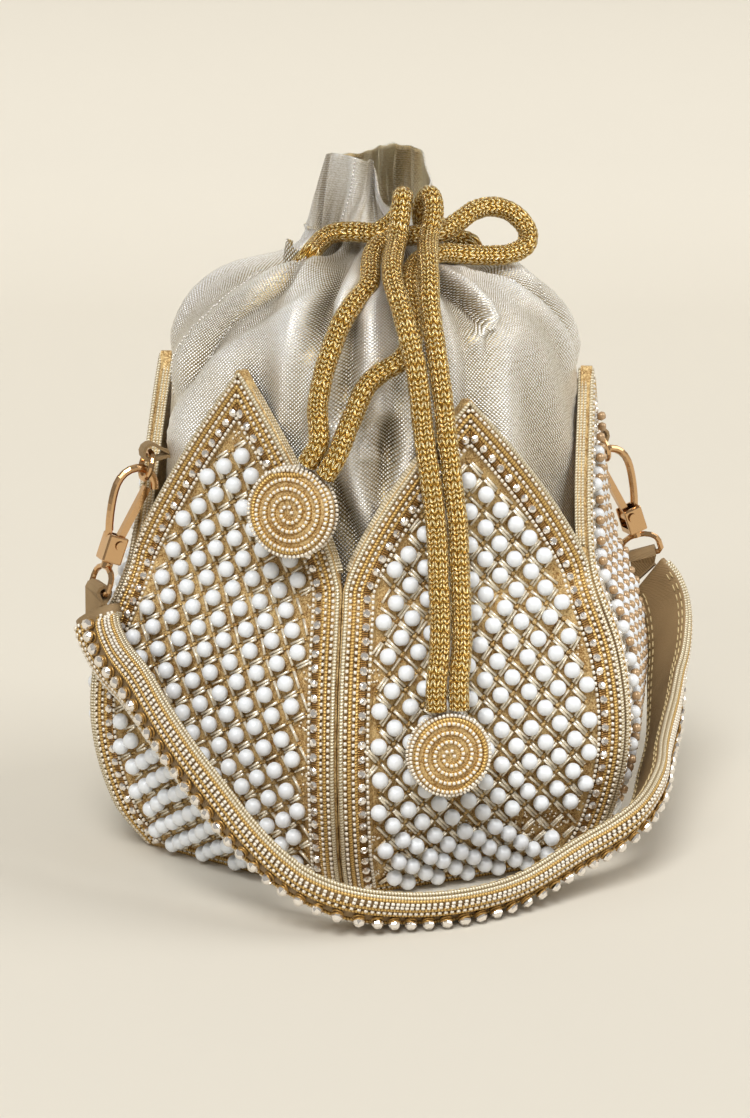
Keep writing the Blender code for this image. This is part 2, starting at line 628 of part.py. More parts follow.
def make_eye(side, frame):
    """The swivel: a D-shaped eye, its stem through the hook's base and the head that keeps it in."""
    across, up = frame["eye_across"], frame["up"]
    bar, crown = EYE_BAR, EYE_TOP
    outline = [(bar, -EYE_HALF + EYE_CORNER), (bar, EYE_HALF - EYE_CORNER), (bar + EYE_CORNER, EYE_HALF)]
    straight = bar + 3.4 * MM
    for i in range(9):
        a = math.pi * i / 8
        outline.append((straight + (crown - straight) * math.sin(a), EYE_HALF * math.cos(a)))
    outline.append((bar + EYE_CORNER, -EYE_HALF))
    points = [frame["block"] + up * u + across * s for u, s in outline]
    face = across.cross(up)
    eye = sweep("swivel_eye_" + side, points, [face] * len(points), round_section(WIRE / 2), closed=True)
    base = frame["block"]
    neck = base + up * (crown - 0.4 * MM)
    joined(eye, cylinder_between("stem", neck, base + up * (SLOT_LOW + 0.5 * MM), STEM_R), "UNION")
    joined(eye, cylinder_between("collar", neck, base + up * (FORK_LOW - GAP), COLLAR_R), "UNION")
    head_low = base + up * (SLOT_LOW + GAP)
    joined(eye, cylinder_between("head", head_low, head_low + up * STEM_HEAD, STEM_HEAD_R), "UNION")
    smooth(eye, 40)
    finish_material(eye, (0.85, 0.60, 0.40), 0.18, 1.0)
    return eye


def make_tab(side, frame, end, face, along):
    """Cloth folded round the eye's bar, its two ends meeting the strap's end."""
    bar, across = frame["bar"], frame["eye_across"]
    meet = end + face * (STRAP_EDGE / 2 + 0.4 * MM) - along * (1.5 * GAP)
    down = meet - bar
    down = (down - across * down.dot(across)).normalized()
    beside = down.cross(across).normalized()
    if beside.dot(face) < 0:
        beside = -beside
    fold_r = WIRE / 2 + 2 * GAP + TAB_TAPE / 2
    leg = 0.5 * TAB_TAPE + 0.05 * MM
    strap_across = along.cross(face).normalized()
    if strap_across.dot(across) < 0:
        strap_across = -strap_across
    half = [(meet + face * leg, strap_across)]
    half.append((meet - along * 0.8 * MM + face * leg, strap_across))
    for degrees in (100, 60, 25):
        a = math.radians(degrees)
        half.append((bar - down * (fold_r * math.cos(a)) + beside * (fold_r * math.sin(a)), across))
    other = [(meet - face * leg, strap_across), (meet - along * 0.8 * MM - face * leg, strap_across)]
    for degrees in (-100, -60, -25):
        a = math.radians(degrees)
        other.append((bar - down * (fold_r * math.cos(a)) + beside * (fold_r * math.sin(a)), across))
    whole = half + list(reversed(other))
    points, widths = zip(*whole)
    obj = sweep("handle_tab_" + side, points, widths, box_section(TAB_TAPE, TAB_WIDTH), squared=False)
    finish_material(obj, (0.42, 0.33, 0.20), 0.6, 0.2)
    return obj


def strap_station(azimuth, room, height, face_round, face_up):
    """A point this far out from the petals' faces, and the way the beaded side looks there."""
    nearest = HALF_SIDE + 2 * HALF_SIDE * math.floor(math.radians(azimuth) / (2 * HALF_SIDE))
    out = (cup_apothem(height * MM) + room * MM) / math.cos(math.radians(azimuth) - nearest)
    place = facing(azimuth) * out
    place.z = height * MM
    return place, facing(face_round, face_up)


def strap_run():
    """The strap's lining line and beaded directions, from the left tab to the right one."""
    stations = [strap_station(*s) for s in STRAP_ROUTE]
    left, right = [
        (side_frame(side)["bar"] + Vector(hang) * MM, facing(azimuth))
        for side, (hang, azimuth) in STRAP_ENDS.items()
    ]
    points, faces = zip(left, *stations, right)
    step = sum((b - a).length for a, b in zip(points, points[1:])) / STRAP_STEPS
    path = smooth_path(points, step)
    return path, smooth_directions(points, faces, len(path))


def smooth_directions(points, values, count):
    """Directions that go with the points, read at count even places along them."""
    run = [0.0]
    for a, b in zip(points, points[1:]):
        run.append(run[-1] + (b - a).length)
    axes = [[(run[i], v[k]) for i, v in enumerate(values)] for k in range(3)]
    places = [run[-1] * i / (count - 1) for i in range(count)]
    return [Vector([read_curve(keys, x) for keys in axes]).normalized() for x in places]


def strap_section():
    """Flat lining on the origin's line, short upright edges, and a crown over them."""
    half = STRAP_WIDTH / 2
    outline = [(-half, 0.0), (half, 0.0), (half, STRAP_EDGE)]
    for i in range(1, 7):
        a = math.pi * i / 7
        outline.append((half * math.cos(a), STRAP_EDGE + (STRAP_CROWN - STRAP_EDGE) * math.sin(a)))
    outline.append((-half, STRAP_EDGE))
    return outline


def make_strap(path, faces):
    obj = sweep("handle_strap", path, faces, strap_section())
    smooth(obj, 50)
    finish_material(obj, (0.68, 0.55, 0.33), 0.45, 0.4)
    return obj


def parent_all(children, name, place):
    """An empty on a joint's axis carries what turns about it."""
    carrier = bpy.data.objects.new(name, None)
    bpy.context.scene.collection.objects.link(carrier)
    carrier.location = place
    bpy.context.view_layer.update()
    for child in children:
        child.parent = carrier
        child.matrix_parent_inverse = carrier.matrix_world.inverted()
    return carrier


def build():
    for obj in list(bpy.data.objects):
        bpy.data.objects.remove(obj, do_unlink=True)
    make_base()
    for name, (azimuth, tip_out, tip_z) in PETALS.items():
        make_petal(name, azimuth, tip_out, tip_z)
    make_pouch()
    for name in DISCS:
        make_disc(name)
    for name, route in DRAWSTRINGS.items():
        make_drawstring(name, route)
    path, faces = strap_run()
    handle = [make_strap(path, faces)]
    for side, end, ahead in (("left", 0, 1), ("right", -1, -2)):
        frame = side_frame(side)
        handle += [make_ring_loop(side, frame), make_ring(side, frame), make_eye(side, frame)]
        along = (path[ahead] - path[end]).normalized()
        face = faces[end] - along * faces[end].dot(along)
        handle.append(make_tab(side, frame, path[end], face.normalized(), along))
        gate = make_gate(side, frame)
        hook = [make_hook(side, frame), make_rivet(side, frame), gate]
        handle.append(parent_all(hook, "swivel_axis_" + side, frame["block"]))
    parent_all(handle, "handle_axis", Vector((0, 0, AXIS_Z)))


build()
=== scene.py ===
# %% [markdown]
# # A beaded potli bag
# A potli is a drawstring pouch that stands in a cup of stiff, beaded petals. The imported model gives
# the frame: rigid petals, hooks and rings that keep their shape, and plain solids where the real bag
# has cloth, cord and beads. This lesson dresses that frame, one finish or one kind of trimming a step.

# %% Load the frame
import math

import bpy
import numpy as np
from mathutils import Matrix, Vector


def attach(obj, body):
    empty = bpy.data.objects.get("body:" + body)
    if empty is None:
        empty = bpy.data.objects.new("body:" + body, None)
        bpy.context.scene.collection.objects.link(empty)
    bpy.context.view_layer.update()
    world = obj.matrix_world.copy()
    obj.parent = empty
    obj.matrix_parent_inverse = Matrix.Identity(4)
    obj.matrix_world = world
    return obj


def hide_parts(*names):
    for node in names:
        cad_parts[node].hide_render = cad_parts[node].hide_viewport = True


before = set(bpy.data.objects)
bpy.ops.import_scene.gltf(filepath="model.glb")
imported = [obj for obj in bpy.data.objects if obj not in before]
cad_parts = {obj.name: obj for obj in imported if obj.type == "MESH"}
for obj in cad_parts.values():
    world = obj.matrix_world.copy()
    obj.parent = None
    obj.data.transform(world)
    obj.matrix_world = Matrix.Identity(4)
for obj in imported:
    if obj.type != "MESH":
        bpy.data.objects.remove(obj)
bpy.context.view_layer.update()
MM = 0.001

# %% [markdown]
# ## The camera
# The photograph was taken from the front left, a little above the bag, with a long lens, which is
# why the petals hardly taper. The long side of the picture is what the lens is measured against.


# %% Set the camera
def aim(obj, place, target):
    """Puts an object at a place and turns its -Z axis to a target."""
    obj.location = place
    obj.rotation_euler = (Vector(target) - Vector(place)).to_track_quat("-Z", "Y").to_euler()


CAMERA_AT = Vector((-342.73, -801.43, 304.12)) * MM
LOOKING = Vector((0.38081, 0.89048, -0.24906))
bpy.ops.object.camera_add()
camera = bpy.context.active_object
camera.data.lens = 96.6
camera.data.sensor_width = 36
aim(camera, CAMERA_AT, CAMERA_AT + LOOKING)
bpy.context.scene.camera = camera
print("camera", [round(c, 3) for c in camera.location])

# %% [markdown]
# ## Tools for finishes
# Colours are written as they look on screen and turned to the linear values that Blender works in.
# Every material is a few nodes, so one small function adds a node with its settings and links.


# %% Colour and node helpers
def colour(hex_code):
    """Linear RGBA from an sRGB hex value."""
    parts = [int(hex_code[i : i + 2], 16) / 255 for i in (0, 2, 4)]
    return (*(c / 12.92 if c <= 0.04045 else ((c + 0.055) / 1.055) ** 2.4 for c in parts), 1.0)


def add_node(mat, kind, inputs=None, output=0, stops=(), **settings):
    """Adds a node, sets or links its inputs, sets a ramp's (place, hex) stops, and gives an output."""
    node = mat.node_tree.nodes.new(kind)
    for name, value in settings.items():
        setattr(node, name, value)
    for name, term in (inputs or {}).items():
        if isinstance(term, bpy.types.NodeSocket):
            mat.node_tree.links.new(term, node.inputs[name])
        else:
            node.inputs[name].default_value = term
    for i, (place, hex_code) in enumerate(stops):
        element = node.color_ramp.elements[i] if i < 2 else node.color_ramp.elements.new(place)
        element.position, element.color = place, colour(hex_code)
    return node.outputs[output]


def new_finish(name, base, **sockets):
    """A material with its Principled shader set, and that shader."""
    mat = bpy.data.materials.new(name)
    mat.use_nodes = True
    shader = mat.node_tree.nodes["Principled BSDF"]
    shader.inputs["Base Color"].default_value = colour(base)
    for socket, value in sockets.items():
        shader.inputs[socket.replace("_", " ")].default_value = value
    return mat, shader


def dress(mat, shader, tone, relief):
    """Links a colour and a relief to the shader."""
    mat.node_tree.links.new(tone, shader.inputs["Base Color"])
    mat.node_tree.links.new(relief, shader.inputs["Normal"])


def refinish(names, finish):
    """Gives carried-over pieces of the frame a new finish."""
    for name in names:
        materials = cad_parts[name].data.materials
        materials.clear()
        materials.append(finish)


MATH = "ShaderNodeMath"
print("helpers ready, mid grey is", round(colour("808080")[0], 3))

# %% [markdown]
# ## Polished plating
# The hooks, rings and eyes are die-cast zinc and bent wire with a pale rose-gold plating. It is a
# mirror with very fine hairlines, so a metal with low, slightly uneven roughness gives its look.


# %% Plated metal
def plated_metal():
    mat, shader = new_finish("pale_gold_plating", "D6AE80", Metallic=1.0, Roughness=0.16)
    place = add_node(mat, "ShaderNodeTexCoord", output="Object")
    rub = add_node(mat, "ShaderNodeTexNoise", {"Vector": place, "Scale": 900.0, "Detail": 2.0})
    spread = add_node(mat, "ShaderNodeMapRange", {"Value": rub, "To Min": 0.10, "To Max": 0.24})
    mat.node_tree.links.new(spread, shader.inputs["Roughness"])
    return mat


PLATING = plated_metal()
METAL_PARTS = ("hook_", "gate_", "gate_rivet_", "swivel_eye_", "bag_ring_")
refinish([part + side for part in METAL_PARTS for side in ("left", "right")], PLATING)
print("plated", 2 * len(METAL_PARTS), "pieces with", PLATING.name)

# %% [markdown]
# ## Cloths
# The loops and the handle's lining are a khaki-gold twill with fine diagonal ribs half a millimetre
# apart. The petals' ground is cloth filled with zari, a gilt thread laid in short stitches, which
# shows as a golden-brown, sparkling crust between the beads. Both are surfaces finer than a mesh is
# worth, so bands and noise in real millimetres make them, as colour and as a slight relief.


# %% Twill and zari ground
def twill(name, base, dark):
    mat, shader = new_finish(name, base, Roughness=0.62, Metallic=0.25)
    place = add_node(mat, "ShaderNodeTexCoord", output="Object")
    wave = {"Vector": place, "Scale": 1150.0, "Distortion": 3.0, "Detail": 3.0, "Detail Scale": 1.5}
    ribs = add_node(mat, "ShaderNodeTexWave", wave, output="Fac", bands_direction="DIAGONAL")
    wear = add_node(mat, "ShaderNodeTexNoise", {"Vector": place, "Scale": 90.0, "Detail": 4.0})
    mix = add_node(mat, MATH, {0: ribs, 1: 0.45, 2: wear}, operation="MULTIPLY_ADD")
    tone = add_node(mat, "ShaderNodeValToRGB", {"Fac": mix}, stops=((0.25, dark), (0.85, base)))
    dress(mat, shader, tone, add_node(mat, "ShaderNodeBump", {"Height": ribs, "Distance": 0.00006}))
    return mat


def zari_ground():
    mat, shader = new_finish("zari_ground", "A98A58", Roughness=0.45, Metallic=0.42)
    place = add_node(mat, "ShaderNodeTexCoord", output="Object")
    grain = {"Vector": place, "Scale": 1400.0, "Detail": 3.0, "Distortion": 1.2}
    stitches = add_node(mat, "ShaderNodeTexNoise", grain)
    patches = add_node(mat, "ShaderNodeTexNoise", {"Vector": place, "Scale": 160.0, "Detail": 3.0})
    mix = add_node(mat, MATH, {0: patches, 1: 0.5, 2: stitches}, operation="MULTIPLY_ADD")
    stops = ((0.42, "6C4A1F"), (0.62, "A27A42"), (0.86, "E2C58C"))
    tone = add_node(mat, "ShaderNodeValToRGB", {"Fac": mix}, stops=stops)
    dress(mat, shader, tone, add_node(mat, "ShaderNodeBump", {"Height": stitches, "Distance": 0.0004}))
    return mat


LINING = twill("khaki_gold_twill", "A58A63", "77603F")
ZARI = zari_ground()
refinish([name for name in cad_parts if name.startswith("petal_")], ZARI)
refinish(("base_panel", "ring_loop_left", "ring_loop_right", "handle_tab_left", "handle_tab_right"), LINING)
print("cloths", LINING.name, ZARI.name)

# %% [markdown]
# ## Trimmings
# Glass seed beads are lined with silver, so they read as small bright metal grains. The big round
# beads are opaque white glass, soft and a little glowing. Gold cord is a core wound with metallic
# thread: its twist shows as slanting ridges, drawn from the cord's own UV map, in millimetres.


# %% Bead, stone and cord finishes
def wound_cord(name, light, dark, pitch):
    """Metallic thread wound on a core. The UV map runs in millimetres along and in turns around."""
    mat, shader = new_finish(name, light, Roughness=0.36, Metallic=0.55)
    uv = add_node(mat, "ShaderNodeUVMap", uv_map="UVMap")
    split = add_node(mat, "ShaderNodeSeparateXYZ", {"Vector": uv}).node.outputs
    turn = add_node(mat, MATH, {0: split["X"], 1: 1 / pitch, 2: split["Y"]}, operation="MULTIPLY_ADD")
    angle = add_node(mat, MATH, {0: turn, 1: 2 * math.pi}, operation="MULTIPLY")
    ridge = add_node(mat, MATH, {0: angle}, operation="SINE")
    height = add_node(mat, "ShaderNodeMapRange", {"Value": ridge, "From Min": -1.0, "From Max": 1.0})
    stops = ((0.0, dark), (0.55, light), (1.0, light))
    tone = add_node(mat, "ShaderNodeValToRGB", {"Fac": height}, stops=stops)
    dress(mat, shader, tone, add_node(mat, "ShaderNodeBump", {"Height": height, "Distance": 0.00015}))
    return mat


def white_glass():
    mat, _ = new_finish("white_opaque_glass", "ECEFF2", Roughness=0.34, Coat_Weight=0.15, Coat_Roughness=0.08)
    glow = mat.node_tree.nodes["Principled BSDF"].inputs
    glow["Subsurface Weight"].default_value = 0.5
    glow["Subsurface Radius"].default_value = (2 * MM, 2 * MM, 2 * MM)
    return mat


SILVER_GOLD_CORD = wound_cord("silver_beige_cord", "EADFC6", "A8956A", 0.9)
GOLD_CORD = wound_cord("gold_zari_cord", "DDB971", "946C30", 0.9)
BROWN_CORD = wound_cord("brown_gold_crust", "A47A3E", "4E3519", 0.6)
WHITE_GLASS = white_glass()
SEED_GLASS, _ = new_finish("silver_lined_seed_glass", "F2E9D8", Roughness=0.25, Metallic=0.25)
BUGLE_GLASS, _ = new_finish("silver_lined_bugle_glass", "F6ECD6", Roughness=0.2, Metallic=0.35)
CRYSTAL, _ = new_finish("foiled_crystal", "F3EDE5", Roughness=0.06, Metallic=0.82)
STONE_CUP, _ = new_finish("gilt_stone_cup", "B08A4C", Roughness=0.4, Metallic=0.6)
AMBER_GLASS, _ = new_finish("gold_lined_amber_glass", "C2A27C", Roughness=0.22, Metallic=0.3)
SEWING_THREAD, _ = new_finish("pale_sewing_thread", "DCC796", Roughness=0.55)
SILVER_THREAD, _ = new_finish("silver_stitching_thread", "F4F1EA", Roughness=0.25, Metallic=0.6)
print("trimmings ready")

# %% [markdown]
# ## The petals' surface
# Each petal curves only up and down, so a place on it is told by two lengths: across it, and up
# along its curve. Trimmings are laid out in those two lengths, as on flat cloth, and then lifted
# onto the petal. The sizes repeat the frame's own.

# %% Petal sizes
SIDES = 6
HALF_SIDE = math.pi / SIDES
UP = np.array((0.0, 0.0, 1.0))
GAP, EDGE_DROP = 0.3 * MM, 0.6 * MM
VALLEY_Z, OGIVE_POWER = 90 * MM, 1.35
CUP_KEYS = ((0, 72.7), (15, 83), (40, 89), (65, 86), (90, 76))
PETALS = {
    "petal_front": (270, 65.6, 140.7),
    "petal_front_left": (210, 62.6, 147.0),
    "petal_back_left": (150, 63.2, 142.0),
    "petal_back": (90, 63.5, 141.0),
    "petal_back_right": (30, 63.5, 141.0),
    "petal_front_right": (330, 63.2, 140.2),
}


def read_curve(keys, x):
    """The smooth curve through (x, y) keys, read at x."""
    xs, ys = [k[0] for k in keys], [k[1] for k in keys]
    if x <= xs[0]:
        return ys[0]
    if x >= xs[-1]:
        return ys[-1]
    i = max(j for j in range(len(xs) - 1) if xs[j] <= x)

    def slope(j):
        before, after = max(j - 1, 0), min(j + 1, len(xs) - 1)
        return (ys[after] - ys[before]) / (xs[after] - xs[before])

    step = xs[i + 1] - xs[i]
    t = (x - xs[i]) / step
    rise = t * (1 - t) ** 2 * step * slope(i) + t * t * (t - 1) * step * slope(i + 1)
    return ease(1 - t) * ys[i] + ease(t) * ys[i + 1] + rise


def ease(t):
    """A smooth step from 0 to 1."""
    return t * t * (3 - 2 * t)


def unit(v):
    return v / np.maximum(np.linalg.norm(v, axis=-1, keepdims=True), 1e-12)


def run_of(points):
    """How far along a path each of its points lies."""
    return np.concatenate([[0], np.cumsum(np.linalg.norm(np.diff(points, axis=0), axis=1))])


def facing(azimuth, elevation=0.0):
    """The level direction at an azimuth, raised by an elevation, both in degrees."""
    a, e = math.radians(azimuth), math.radians(elevation)
    return np.array((math.cos(a) * math.cos(e), math.sin(a) * math.cos(e), math.sin(e)))


class Petal:
    """One petal as flat cloth: lengths across and up it, in metres, turned to places on the bag."""

    def __init__(self, name):
        azimuth, tip_out, tip_z = PETALS[name]
        self.name, self.tip_z = name, tip_z * MM
        self.out, self.side = facing(azimuth), facing(azimuth + 90)
        keys = [(z * MM, r * MM * math.cos(HALF_SIDE)) for z, r in CUP_KEYS] + [(self.tip_z, tip_out * MM)]
        self.z = np.linspace(0, self.tip_z, 160)
        self.face = np.array([read_curve(keys, z) for z in self.z])
        steps = np.hypot(np.diff(self.z), np.diff(self.face))
        self.up = np.concatenate([[0], np.cumsum(steps)])
        self.length = self.up[-1]
        self.half = np.array([self.half_width(z, face) for z, face in zip(self.z, self.face)])

    def half_width(self, z, face):
        seam = ((face - EDGE_DROP) * math.sin(HALF_SIDE) - GAP / 2) / math.cos(HALF_SIDE)
        if z <= VALLEY_Z:
            return seam
        share = 1 - max(0.0, 1 - (self.tip_z - z) / (self.tip_z - VALLEY_Z)) ** OGIVE_POWER
        return max(0.0, min(seam, seam * share))

    def place(self, across, up, lift):
        """Points on the petal, lifted off its face, and the face's normals there."""
        across, up, lift = np.broadcast_arrays(np.atleast_1d(across), up, lift)
        z, face = np.interp(up, self.up, self.z), np.interp(up, self.up, self.face)
        rise = np.interp(up, self.up, np.gradient(self.z, self.up))
        lean = np.interp(up, self.up, np.gradient(self.face, self.up))
        normal = unit(self.out * rise[:, None] - UP * lean[:, None])
        points = self.out * face[:, None] + self.side * across[:, None] + UP * z[:, None]
        return points + normal * lift[:, None], normal

    def inset(self, distance):
        """(across, up) points of the right edge, moved in by a distance, from the foot to the axis."""
        start = np.searchsorted(self.up, 0.8 * MM)
        half, up = self.half[start:], self.up[start:]
        slope = np.gradient(half, up)
        size = np.hypot(1, slope)
        line = np.stack([half - distance / size, up + distance * slope / size], axis=1)
        inside = np.flatnonzero(line[:, 0] <= 0)
        if len(inside) and inside[0] > 0:
            i = inside[0]
            a, b = line[i - 1], line[i]
            line = np.vstack([line[:i], a + (b - a) * a[0] / (a[0] - b[0])])
        return line[line[:, 1] >= 0.6 * MM]


petals = {name: Petal(name) for name in PETALS}
print("petal lengths, mm:", [round(p.length / MM) for p in petals.values()])

# %% [markdown]
# ## Laying rows and cords
# A row of beads is one modelled bead copied along a path, each copy with its own part of the mesh.
# A cord is a round section swept along the same kind of path, with a UV map that knows how far
# along it is.


# %% Helpers for paths, sweeps and copies
def even_steps(points, step):
    """Points a step apart along a path, with the directions of the path there."""
    points = np.asarray(points, float)
    run = run_of(points)
    count = max(1, int(run[-1] / step))
    places = (np.arange(count) + 0.5) * run[-1] / count

    def read(at):
        return np.stack([np.interp(at, run, points[:, k]) for k in range(points.shape[1])], axis=1)

    return read(places), unit(read(places + step / 4) - read(places - step / 4))


def add_piece(name, verts, faces, finish, body, smooth=True, uv=None):
    """A mesh piece from points and faces, with its finish, on its body."""
    mesh = bpy.data.meshes.new(name)
    mesh.from_pydata(np.asarray(verts).tolist(), [], [tuple(face) for face in faces])
    if uv is not None:
        layer = mesh.uv_layers.new(name="UVMap")
        layer.data.foreach_set("uv", np.asarray(uv, np.float32).ravel())
    mesh.polygons.foreach_set("use_smooth", [smooth] * len(mesh.polygons))
    mesh.update()
    obj = bpy.data.objects.new(name, mesh)
    bpy.context.scene.collection.objects.link(obj)
    obj.data.materials.append(finish)
    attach(obj, body)
    return obj


def copy_model(name, model, places, along, up, finish, body, scale=None, smooth=True):
    """One piece made of a model's copies. The model's X follows along and its Z follows up."""
    verts, faces = model
    along = unit(np.asarray(along))
    up = unit(up - along * np.sum(up * along, axis=1)[:, None])
    side = np.cross(up, along)
    turn = np.stack([along, side, up], axis=1)
    if scale is not None:
        turn = turn * np.reshape(scale, (-1, 1, 1))
    points = np.einsum("vi,nij->nvj", verts, turn) + np.asarray(places)[:, None, :]
    every = [[i + k * len(verts) for i in face] for k in range(len(places)) for face in faces]
    return add_piece(name, points.reshape(-1, 3), every, finish, body, smooth)


def tube_faces(count, size, start=0):
    """Quads that join count rings of size points each, closed round."""
    return [
        tuple(start + n for n in (i * size + j, i * size + k, (i + 1) * size + k, (i + 1) * size + j))
        for i in range(count - 1)
        for j, k in ((j, (j + 1) % size) for j in range(size))
    ]


def tube_uvs(along, around):
    """(along, around) at the corners of those quads. along: one value a ring, or one a point."""
    size = len(around) - 1
    along = np.broadcast_to(np.reshape(along, (len(along), -1)), (len(along), size))
    uvs = []
    for low, high in zip(along, along[1:]):
        for j in range(size):
            k, a, b = (j + 1) % size, around[j], around[j + 1]
            uvs += [(low[j], a), (low[k], b), (high[k], b), (high[j], a)]
    return uvs


def end_caps(count, size, start=0):
    """The first and the last ring of a tube, as two faces."""
    last = start + (count - 1) * size
    return [tuple(start + j for j in reversed(range(size))), tuple(last + j for j in range(size))]


def sweep_cords(name, laid, radius, finish, body, sides=6, flat=1.0):
    """Round cords along (path, normals) pairs, in one piece. UV: millimetres along, turns around."""
    verts, faces, uvs = [], [], []
    angles = 2 * math.pi * np.arange(sides) / sides
    for path, normals in laid:
        start, count = len(verts), len(path)
        along = unit(np.gradient(path, axis=0))
        across = unit(np.cross(along, normals))
        rise = np.cross(across, along)
        ring = across[:, None] * np.cos(angles)[:, None] + rise[:, None] * np.sin(angles)[:, None] * flat
        verts += (path[:, None] + radius * ring).reshape(-1, 3).tolist()
        faces += tube_faces(count, sides, start) + end_caps(count, sides, start)
        uvs += tube_uvs(run_of(path) / MM, np.arange(sides + 1) / sides) + [(0, 0)] * (2 * sides)
    return add_piece(name, verts, faces, finish, body, uv=uvs)


def stacked(rows):
    """Joins rows of (places, ways, normals) into one such row."""
    return (np.vstack([row[k] for row in rows]) for k in range(3))


def model_of(obj):
    """Takes an object's mesh as points and faces, in metres, and removes the object."""
    mesh = obj.data
    verts = np.empty(len(mesh.vertices) * 3)
    mesh.vertices.foreach_get("co", verts)
    faces = [tuple(p.vertices) for p in mesh.polygons]
    bpy.data.objects.remove(obj, do_unlink=True)
    bpy.data.meshes.remove(mesh)
    return verts.reshape(-1, 3), faces


print("helpers ready")

# %% [markdown]
# ## One bead of each kind
# Each small part is modelled once. A round bead is a ball whose two ends are pushed in round a drill
# hole. A seed bead is a squat barrel, a bugle a short tube, and a stone has a flat table and a ring of
# slanting facets. Hundreds of copies follow, so each has only a few dozen faces.


# %% Model the beads and stones
def edit_new(add):
    """Makes a primitive with its call, and leaves none of its points selected."""
    bpy.ops.object.select_all(action="DESELECT")
    add()
    obj = bpy.context.active_object
    bpy.ops.object.mode_set(mode="EDIT")
    bpy.ops.mesh.select_all(action="DESELECT")
    bpy.ops.object.mode_set(mode="OBJECT")
    return obj


def choose(obj, test):
    """Selects the vertices that pass the test, and opens the object for editing."""
    for vertex in obj.data.vertices:
        vertex.select = test(vertex.co)
    bpy.ops.object.mode_set(mode="EDIT")
    bpy.context.tool_settings.mesh_select_mode = (True, False, False)


def drilled_ball(radius, hole, segments, rings):
    """A ball with its Z poles pushed in as the mouths of a drill hole."""
    obj = edit_new(
        lambda: bpy.ops.mesh.primitive_uv_sphere_add(segments=segments, ring_count=rings, radius=radius)
    )
    for end in (-1, 1):
        choose(obj, lambda co: co.z * end > radius * 0.985)
        bpy.ops.transform.translate(value=(0, 0, -end * hole))
        bpy.ops.mesh.select_all(action="DESELECT")
        bpy.ops.object.mode_set(mode="OBJECT")
    return model_of(obj)


def cut_stone(radius, height):
    """A faceted stone: an eight-sided rim, drawn up and narrowed, with a half turn between."""
    obj = edit_new(
        lambda: bpy.ops.mesh.primitive_cylinder_add(vertices=8, radius=radius, depth=height * 0.4)
    )
    choose(obj, lambda co: co.z > 0)
    bpy.context.tool_settings.mesh_select_mode = (False, False, True)
    bpy.ops.mesh.extrude_region_move(TRANSFORM_OT_translate={"value": (0, 0, height * 0.6)})
    bpy.ops.transform.resize(value=(0.52, 0.52, 1))
    bpy.ops.transform.rotate(value=math.pi / 8, orient_axis="Z", center_override=(0, 0, 0))
    bpy.ops.object.mode_set(mode="OBJECT")
    return model_of(obj)


def tube_bead(radius, length, sides):
    """A tube along X with its ends dished in."""
    obj = edit_new(
        lambda: bpy.ops.mesh.primitive_cylinder_add(
            vertices=sides, radius=radius, depth=length, end_fill_type="TRIFAN", rotation=(0, math.pi / 2, 0)
        )
    )
    bpy.ops.object.transform_apply(rotation=True)
    for end in (-1, 1):
        choose(obj, lambda co: co.x * end > 0 and math.hypot(co.y, co.z) < radius / 2)
        bpy.ops.transform.translate(value=(-end * radius * 0.6, 0, 0))
        bpy.ops.mesh.select_all(action="DESELECT")
        bpy.ops.object.mode_set(mode="OBJECT")
    return model_of(obj)


ROUND_BEAD = drilled_ball(2.45 * MM, 0.8 * MM, 12, 8)
SEED = drilled_ball(0.53 * MM, 0.2 * MM, 7, 3)
SEED = (SEED[0][:, [2, 0, 1]] * (1.35, 1.15, 1.15), SEED[1])
LONG_SEED = (SEED[0] * (1.22, 0.92, 0.92), SEED[1])
BUGLE = tube_bead(0.4 * MM, 4.4 * MM, 5)
KNOT = drilled_ball(0.64 * MM, 0.1 * MM, 6, 4)
STONE = cut_stone(1.25 * MM, 1.0 * MM)
MODELS = {"bead": ROUND_BEAD, "seed": SEED, "bugle": BUGLE, "knot": KNOT, "stone": STONE}
print("faces:", {name: len(faces) for name, (_, faces) in MODELS.items()})

# %% [markdown]
# ## Cord routes
# The knitted cords are real tubes, so their routes come before the beads: where a cord presses on
# the petal, the beads beneath it sit lower in the cloth. Each route, in millimetres, repeats the
# frame's own points, and the two long ones begin a little inside the cloth, in the casing.

